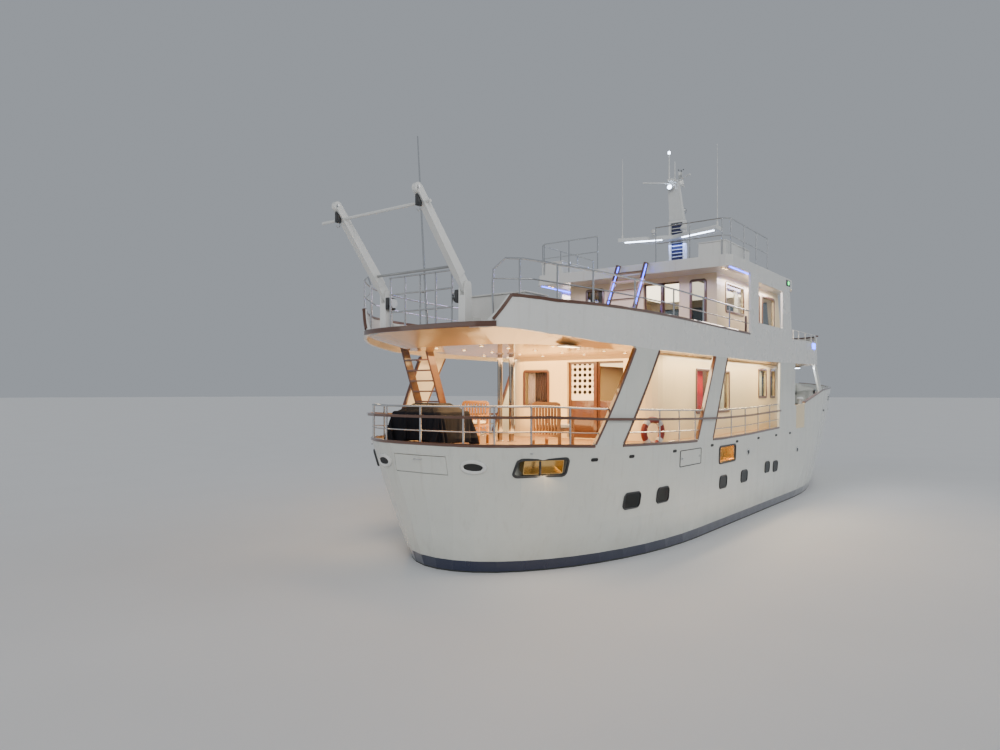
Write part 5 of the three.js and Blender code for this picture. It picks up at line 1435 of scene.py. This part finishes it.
# Bow gear
STAY_PLACES = (5.2, 6.8, 8.4, 10.0, 11.2)
BOW_LEADS = ((6.3, 3.3), (11.0, 3.5))
CHAIN_FROM = Vector((10.72, 0.0, 3.33))
CHAIN_TO = Vector((12.2, 0.0, 3.78))
CHAIN_LINKS = 22
BRAKE_WHEEL = (10.36, 0.24, 3.36)
GRAB_RAIL_Z = 5.58


def chain_link(centre, along, turn):
    """One oval link, turned about its length."""
    along = along.normalized()
    across = PORT if turn else along.cross(PORT).normalized()
    points = []
    for a in angles(12):
        bend = math.copysign(abs(math.cos(a)) ** 0.7, math.cos(a))
        points.append(centre + along * bend * 0.05 + across * math.sin(a) * 0.03)
    return tube(points, 0.011, closed=True)


class YACHT_OT_bow_gear(bpy.types.Operator):
    """Fits the bulwark stays, fairleads, anchor chain and windlass gear on the foredeck"""
    bl_idname = "yacht.bow_gear"
    bl_label = "Bow gear"

    def execute(self, context):
        stays = []
        for x in STAY_PLACES:
            top = height_on(BOW_RAIL_LINE, x) - 0.16
            foot = Vector((x, -(breadth_at(x, FOREDECK_Z) - WALL - 0.26), FOREDECK_Z))
            head = Vector((x, -(breadth_at(x, top) - WALL - 0.004), top))
            stays.append(bar(foot, head, 0.02))
            stays.append(turned([(0.05, -0.001), (0.05, 0.008), (0.03, 0.012)], foot, UP, 16))
        both_sides(stays, "bulwark_stays", "white_paint")
        rings, throats = [], []
        for x, z in BOW_LEADS:
            rings.append(skin_oval(hull_spot, x, z, 0.19, 0.1, 0.032))
            throats.append(inlay(hull_spot, x, z, 0.33, 0.15, 0.074, 0.04, 0.024))
            spot, out = hull_spot(x, z)
            inner = spot - WALL * out
            rings.append(tube(oval(inner, UP.cross(out).normalized(), UP, 0.19, 0.1), 0.028, closed=True))
            throats.append(face_to(plate(0.33, 0.15, 0.074, 0.03), inner + 0.01 * out, -out))
        both_sides(rings, "bow_fairleads", "steel")
        both_sides(throats, "bow_fairlead_throats", "rubber")
        links = []
        for i in range(CHAIN_LINKS):
            share = (i + 0.5) / CHAIN_LINKS
            sag = 0.1 * math.sin(math.pi * share) * UP
            links.append(chain_link(CHAIN_FROM.lerp(CHAIN_TO, share) - sag, CHAIN_TO - CHAIN_FROM, i % 2))
        done(links, "anchor_chain", "galvanised", angle=60)
        gear = []
        disc = [(0.118, 0), (0.15, 0.004), (0.15, 0.02), (0.118, 0.03)]
        for side in SIDES:
            gear += [turned(disc, (10.6, side * y, 3.2), side * PORT, 28) for y in (0.185, 0.29, 0.42)]
            wheel = Vector((BRAKE_WHEEL[0], side * BRAKE_WHEEL[1], BRAKE_WHEEL[2]))
            rim = oval(wheel, FORWARD, PORT, 0.09, 0.09, 16)
            gear.append(tube(rim, 0.011, closed=True))
            gear += [bar(rim[start], rim[start + 8], 0.007) for start in (0, 4)]
            gear.append(bar(wheel - 0.36 * UP, wheel + 0.01 * UP, 0.014))
        done(gear, "windlass_gear", "bronze")
        x = front_x(GRAB_RAIL_Z) + 0.07
        rail = [bar((x, -1.9, GRAB_RAIL_Z), (x, 1.9, GRAB_RAIL_Z), 0.016)]
        for y in (-1.85, -0.95, 0.0, 0.95, 1.85):
            rail.append(bar((x - 0.08, y, GRAB_RAIL_Z), (x, y, GRAB_RAIL_Z), 0.011))
        done(rail, "front_grab_rail", "steel")
        return {"FINISHED"}


# Top gear
DAVIT_Y = 1.03
DAVIT_PIVOT = (-13.22, 5.4)
DAVIT_HEAD = (-14.49, 6.94)
MAST_X = -1.16
WIND_SENSOR = Vector((-1.6, -0.3, 10.56))
SEARCHLIGHT = (1.6, 0.75, ROOF_Z)
SEARCHLIGHT_AIM = (1, 0, 0.1)
COLUMNS = (0.9, 0.56)
COLUMNS_X = -9.6
BRIDGE_RAIL_X = (0.95, 1.6, 2.4, 3.2, 3.72)


def fit_davits():
    """What luffs with the davits, and their winches and knees, which don't."""
    (foot_x, foot_z), (head_x, head_z) = DAVIT_PIVOT, DAVIT_HEAD
    lean = math.atan2(head_z - foot_z, head_x - foot_x)
    tie_x, tie_z = foot_x + 0.46 * math.cos(lean), foot_z + 0.46 * math.sin(lean)
    done(bar((tie_x, -DAVIT_Y, tie_z), (tie_x, DAVIT_Y, tie_z), 0.024), "davit_tie", "galvanised", "davits")
    caps, blocks, hooks = [], [], []
    for y in (-DAVIT_Y, DAVIT_Y):
        head = Vector((head_x, y, head_z))
        for side in SIDES:
            outer = side * PORT
            caps.append(turned([(0.045, 0), (0.045, 0.014), (0.03, 0.02)], head + 0.04 * outer, outer, 16))
        blocks.append(block(head + Vector((-0.03, -0.03, -0.3)), head + Vector((0.09, 0.03, -0.1)), 0.015))
        eye = head + Vector((0.03, 0, -0.34))
        bend = [math.radians(k) for k in (180, 140, 90, 45, 0, -45, -80)]
        hooks.append(tube([eye + 0.045 * Vector((math.sin(a), 0, -math.cos(a))) for a in bend], 0.009))
    done(caps, "davit_sheave_caps", "steel", "davits")
    done(blocks, "davit_fall_blocks", "dark_paint", "davits")
    done(hooks, "davit_hooks", "steel", "davits")
    winches, drums, knees = [], [], []
    drum = [(0.09, 0), (0.09, 0.01), (0.05, 0.014), (0.05, 0.05), (0.09, 0.054), (0.09, 0.064)]
    for side in SIDES:
        winches.append(block((-13.34, side * 0.945, 5.12), (-13.12, side * 0.86, 5.36), 0.02))
        drums.append(turned(drum, (-13.23, side * 0.862, 5.24), -side * PORT))
        for y in (side * DAVIT_Y - 0.07, side * DAVIT_Y + 0.07):
            knees.append(block((-13.1, y - 0.01, 4.7), (-12.86, y + 0.01, 4.86), 0.004))
    done(winches, "davit_winches", "dark_paint")
    done(drums, "davit_winch_drums", "steel")
    done(knees, "davit_knees", "white_paint")


def fit_lockers():
    """Lids and hinges of the lockers on the roof and the boat deck."""
    lids, hinges = [], []
    for side in SIDES:
        lids.append(block((-4.82, side * 2.12, 7.452), (-2.88, side * 2.9, 7.482), 0.008))
        for x in (-4.4, -3.3):
            y = side * 2.105
            hinges.append(block((x - 0.05, y - 0.008, 7.41), (x + 0.05, y + 0.008, 7.49), 0.003))
    lids.append(block((-12.65, -1.98, 5.302), (-11.87, -0.61, 5.332), 0.008))
    done(lids, "locker_lids", "white_paint")
    hinges += [block((-11.865, y - 0.05, 5.26), (-11.85, y + 0.05, 5.33), 0.003) for y in (-1.7, -0.9)]
    done(hinges, "locker_hinges", "steel")


def fit_mast():
    """The mast's locker, antennas, horns and wind sensor, and the scanner's cap."""
    done(block((-1.186, -0.2, 7.36), (-1.179, 0.2, 8.99), 0.002), "mast_locker_back", "navy_paint")
    heights = [7.44 + 0.115 * i for i in range(14)]
    slats = [strip([(-1.204, -0.2, z), (-1.204, 0.2, z)], 0.03, 0.022) for z in heights]
    done(slats, "mast_louvres", "white_paint")
    whips = []
    for y, top in ((-1.6, 11.04), (1.6, 11.2)):
        whip = [(0.03, 0), (0.03, 0.12), (0.014, 0.16), (0.01, 1.2), (0.005, top - 8.54)]
        whips.append(turned(whip, (-1.93, y, WING_TOP_Z), UP, 10))
    done(whips, "whip_antennas", "plastic")
    trumpet = [(0.03, 0), (0.03, 0.1), (0.04, 0.2), (0.09, 0.34), (0.095, 0.345), (0.05, 0.3)]
    horns = [turned(trumpet, (MAST_X, y, 9.45), FORWARD, 20) for y in (-0.07, 0.07)]
    horns.append(block((MAST_X - 0.06, -0.11, 9.36), (MAST_X + 0.08, 0.11, 9.5), 0.01))
    done(horns, "mast_horns", "steel")
    arms = [Vector((math.cos(a), math.sin(a), 0)) for a in (0.3, 2.4, 4.5)]
    cup = [(0.006, -0.02), (0.02, 0), (0.006, 0.02)]
    wind = [bar(WIND_SENSOR - 0.34 * UP, WIND_SENSOR, 0.008)]
    wind += [bar(WIND_SENSOR, WIND_SENSOR + 0.09 * arm, 0.004) for arm in arms]
    wind += [turned(cup, WIND_SENSOR + 0.09 * arm, UP.cross(arm), 10) for arm in arms]
    done(wind, "wind_sensor", "dark_paint")
    dome = [(0.05, 0), (0.05, 0.03), (0.09, 0.06), (0.1, 0.11), (0.07, 0.17), (0.02, 0.19)]
    domes = [turned(dome, (-1.9, side * 0.5, WING_TOP_Z), UP, 20) for side in SIDES]
    done(domes, "wing_antennas", "plastic")
    done(block((-1.02, -0.035, 10.57), (-0.9, 0.035, 10.6), 0.012), "scanner_cap", "plastic", "scanner")


class YACHT_OT_top_gear(bpy.types.Operator):
    """Fits the gear of the davits, boat deck, roof and mast"""
    bl_idname = "yacht.top_gear"
    bl_label = "Top gear"

    def execute(self, context):
        fit_davits()
        fit_lockers()
        fit_mast()
        wipers = []
        for y in UPPER_PANES_Y:
            on_pane = lambda across, z, off=0.045: Vector((front_x(z) + off, y + across, z))
            hub = [(0.035, -0.05), (0.035, 0.01), (0.02, 0.02)]
            wipers.append(turned(hub, on_pane(0, 5.68), (1, 0, UPPER_RAKE), 14))
            wipers.append(bar(on_pane(0, 5.68, 0.057), on_pane(0.22, 6.1, 0.057), 0.008))
            wipers.append(strip([on_pane(0.2, 5.86), on_pane(0.24, 6.34)], 0.012, 0.02))
        done(wipers, "wipers", "rubber")
        rails = []
        for side in SIDES:
            line = [Vector((x, side * (breadth_at(x, 5.3) - 0.03), 5.5)) for x in BRIDGE_RAIL_X]
            rails.append(tube([line[0] - 0.3 * UP, *line], 0.016))
            for point in line[1:]:
                rails.append(bar((point.x, point.y, height_on(PLATE_HEAD, point.x) - 0.02), point, 0.013))
        done(rails, "bridge_rails", "white_paint")
        posts = [block((-3.74, side * 3.02, 5.11), (-3.68, side * 3.075, 5.56), 0.01) for side in SIDES]
        done(posts, "rail_end_posts", "varnish")
        lamp_at = Vector(SEARCHLIGHT) + 0.23 * UP
        light = [turned([(0.05, -0.005), (0.05, 0.1), (0.03, 0.12)], SEARCHLIGHT, UP, 20)]
        drum = [(0.09, -0.1), (0.12, -0.06), (0.12, 0.1), (0.1, 0.11)]
        light.append(turned(drum, lamp_at, SEARCHLIGHT_AIM, 28))
        done(light, "searchlight", "white_paint")
        lens = turned([(0.1, 0.1), (0.09, 0.115), (0.004, 0.12)], lamp_at, SEARCHLIGHT_AIM, 28)
        done(lens, "searchlight_lens", "lamp_white")
        collar = [(0.1, -0.005), (0.1, 0.02), (0.066, 0.03)]
        collars = []
        for y in COLUMNS:
            collars.append(turned(collar, (COLUMNS_X, y, DECK_Z), UP))
            collars.append(turned(collar, (COLUMNS_X, y, CEILING_Z), -UP))
        done(collars, "column_collars", "steel")
        return {"FINISHED"}


# Inside
WHEEL_HUB = Vector((0.78, 0, 5.42))


def padded_block(corners, name, bevel=0.05):
    """A padded piece of one or more boxes, given by their low and high corners."""
    pad = done([block(low, high, bevel, 4) for low, high in corners], name, "tan_cloth", angle=60)


class YACHT_OT_inside(bpy.types.Operator):
    """Furnishes the saloon and the wheelhouse as far as they show through the glass"""
    bl_idname = "yacht.inside"
    bl_label = "Inside"

    def execute(self, context):
        done(block((-6.2, 1.2, 2.302), (-3.4, 2.1, 2.62), 0.02), "sofa_base", "varnish")
        for number, x in enumerate((-6.15, -5.24, -4.33)):
            padded_block([((x, 1.2, 2.625), (x + 0.88, 2.0, 2.78))], "sofa_cushion_{}".format(number))
        padded_block([((-6.2, 1.93, 2.785), (-3.4, 2.11, 3.1))], "sofa_back")
        leg = [(0.16, -0.001), (0.16, 0.02), (0.05, 0.05), (0.04, 0.418)]
        table = [block((-5.6, 0.1, 2.72), (-4.2, 0.8, 2.76), 0.01)]
        table += [turned(leg, (x, 0.45, DECK_Z), UP, 20) for x in (-5.2, -4.6)]
        done(table, "saloon_table", "varnish")
        cabinet = [block((-6.9, -2.1, 2.302), (-2.6, -1.62, 2.9), 0.01)]
        for x in [-6.85 + 0.7 * i for i in range(6)]:
            cabinet.append(block((x, -1.625, 2.36), (x + 0.66, -1.605, 2.84)))
        done(cabinet, "saloon_cabinet", "varnish")
        done(block((-0.8, -2.1, 2.302), (-0.74, 2.1, 4.395), 0.004), "saloon_bulkhead", "varnish")
        done(block((0.9, -1.8, 4.702), (1.5, 1.8, 5.55), 0.03), "wheelhouse_console", "varnish")
        screens = [block((0.87, y, 5.3), (0.9, y + 0.5, 5.52), 0.01) for y in (-1.3, -0.6, 0.4, 1.0)]
        done(screens, "wheelhouse_screens", "dark_paint")
        wheel = [tube(oval(WHEEL_HUB, PORT, UP, 0.3, 0.3), 0.018, closed=True)]
        for a in angles(6):
            spoke = Vector((0, math.cos(a), math.sin(a)))
            wheel.append(bar(WHEEL_HUB + 0.02 * spoke, WHEEL_HUB + 0.38 * spoke, 0.012))
        wheel.append(bar((0.74, 0, 5.42), (0.92, 0, 5.42), 0.035))
        done(wheel, "steering_wheel", "varnish")
        leg = [(0.2, -0.001), (0.2, 0.02), (0.05, 0.05), (0.04, 0.55)]
        for number, y in enumerate((-0.85, 0.85)):
            done(turned(leg, (-0.1, y, BOAT_DECK_Z), UP, 20), "helm_seat_leg_{}".format(number), "steel")
            seat = ((-0.35, y - 0.27, 5.25), (0.15, y + 0.27, 5.37))
            back = ((-0.4, y - 0.26, 5.4), (-0.29, y + 0.26, 6.0))
            padded_block([seat, back], "helm_seat_{}".format(number), 0.04)
        return {"FINISHED"}


# Covers
TABLE_COVER_SIZE = (2.3, 2.74)
LOCKER_COVER_SIZE = (2.7, 3.2)
CLOTH_GAP = 0.012
CLOTH_STIFFNESS = {
    "quality": 6, "mass": 0.5, "tension_stiffness": 25, "compression_stiffness": 25, "shear_stiffness": 12,
    "bending_stiffness": 1.2, "air_damping": 2.0,
}


def cloth_over(name, supports, size, grid, place, finish, frames):
    """Lets a cloth fall over the supports, gives it thickness and takes the supports away."""
    scene = bpy.context.scene
    for support in supports:
        pick(support)
        bpy.ops.object.modifier_add(type="COLLISION")
        support.collision.thickness_outer = CLOTH_GAP
        support.collision.cloth_friction = 20.0
    deselect()
    bpy.ops.mesh.primitive_grid_add(x_subdivisions=grid[0], y_subdivisions=grid[1], size=1, location=place)
    cloth = bpy.context.active_object
    cloth.scale = (*size, 1)
    settle(cloth)
    bpy.ops.object.modifier_add(type="CLOTH")
    fall = cloth.modifiers["Cloth"]
    for key, value in CLOTH_STIFFNESS.items():
        setattr(fall.settings, key, value)
    fall.collision_settings.distance_min = CLOTH_GAP
    fall.collision_settings.use_self_collision = True
    fall.collision_settings.self_distance_min = 0.01
    scene.frame_start = 1
    scene.frame_end = frames
    for number in range(1, frames + 1):
        scene.frame_set(number)
    pick(cloth)
    bpy.ops.object.modifier_apply(modifier="Cloth")
    scene.frame_set(1)
    thick = cloth.modifiers.new("thick", "SOLIDIFY")
    thick.thickness = 0.004
    thick.offset = 0.0
    bpy.ops.object.modifier_apply(modifier="thick")
    for support in supports:
        mesh = support.data
        bpy.data.objects.remove(support)
        bpy.data.meshes.remove(mesh)
    return done(cloth, name, finish, angle=180)


class YACHT_OT_covers(bpy.types.Operator):
    """Lays the fitted cloths over the aft table and the foredeck locker"""
    bl_idname = "yacht.covers"
    bl_label = "Covers"

    def execute(self, context):
        floor = block((-14.5, -1.5, DECK_Z - 0.05), (-9.5, 3.2, DECK_Z), 0)
        table = block((-12.38, 0.36, 2.3), (-11.42, 1.7, 3.05), 0.03)
        stool = block((-12.2, 0.62, 3.05), (-11.62, 1.36, 3.22), 0.08, 4)
        supports = [floor, table, stool]
        place = (-11.9, 1.03, 3.32)
        cover = cloth_over("table_cover", supports, TABLE_COVER_SIZE, (76, 90), place, "cover_cloth", 46)
        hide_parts("covered_table")
        floor = block((4.5, -2.2, FOREDECK_Z - 0.05), (8.2, 2.2, FOREDECK_Z), 0)
        locker = block((5.42, -1.12, 2.95), (7.18, 1.12, 3.42), 0.05)
        heap = block((5.75, -0.8, 3.4), (6.8, 0.7, 3.68), 0.12, 4)
        supports = [floor, locker, heap]
        place = (6.3, 0, 3.7)
        cover = cloth_over("locker_cover", supports, LOCKER_COVER_SIZE, (70, 84), place, "tan_cloth", 40)
        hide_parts("foredeck_cover")
        return {"FINISHED"}


CLASSES = [
    YachtSettings, YACHT_OT_finishes, YACHT_OT_stage, YACHT_OT_trims, YACHT_OT_windows,
    YACHT_OT_hull_fittings, YACHT_OT_lamps, YACHT_OT_deck_gear, YACHT_OT_bow_gear, YACHT_OT_top_gear,
    YACHT_OT_inside, YACHT_OT_covers,
]


class YACHT_PT_panel(bpy.types.Panel):
    """Lists the steps and the finish's sizes and colours"""
    bl_idname = "YACHT_PT_panel"
    bl_label = "Yacht"
    bl_space_type = "VIEW_3D"
    bl_region_type = "UI"
    bl_category = "Yacht"

    def draw(self, context):
        for kind in CLASSES[1:]:
            self.layout.operator(kind.bl_idname)
        for name in YachtSettings.__annotations__:
            self.layout.prop(context.scene.yacht, name)


def register():
    for kind in [*CLASSES, YACHT_PT_panel]:
        bpy.utils.register_class(kind)
    bpy.types.Scene.yacht = bpy.props.PointerProperty(type=YachtSettings)


def unregister():
    del bpy.types.Scene.yacht
    for kind in reversed([*CLASSES, YACHT_PT_panel]):
        bpy.utils.unregister_class(kind)


def main():
    register()
    for kind in CLASSES[1:]:
        group, name = kind.bl_idname.split(".")
        getattr(getattr(bpy.ops, group), name)()
    deselect()


if __name__ == "__main__":
    main()
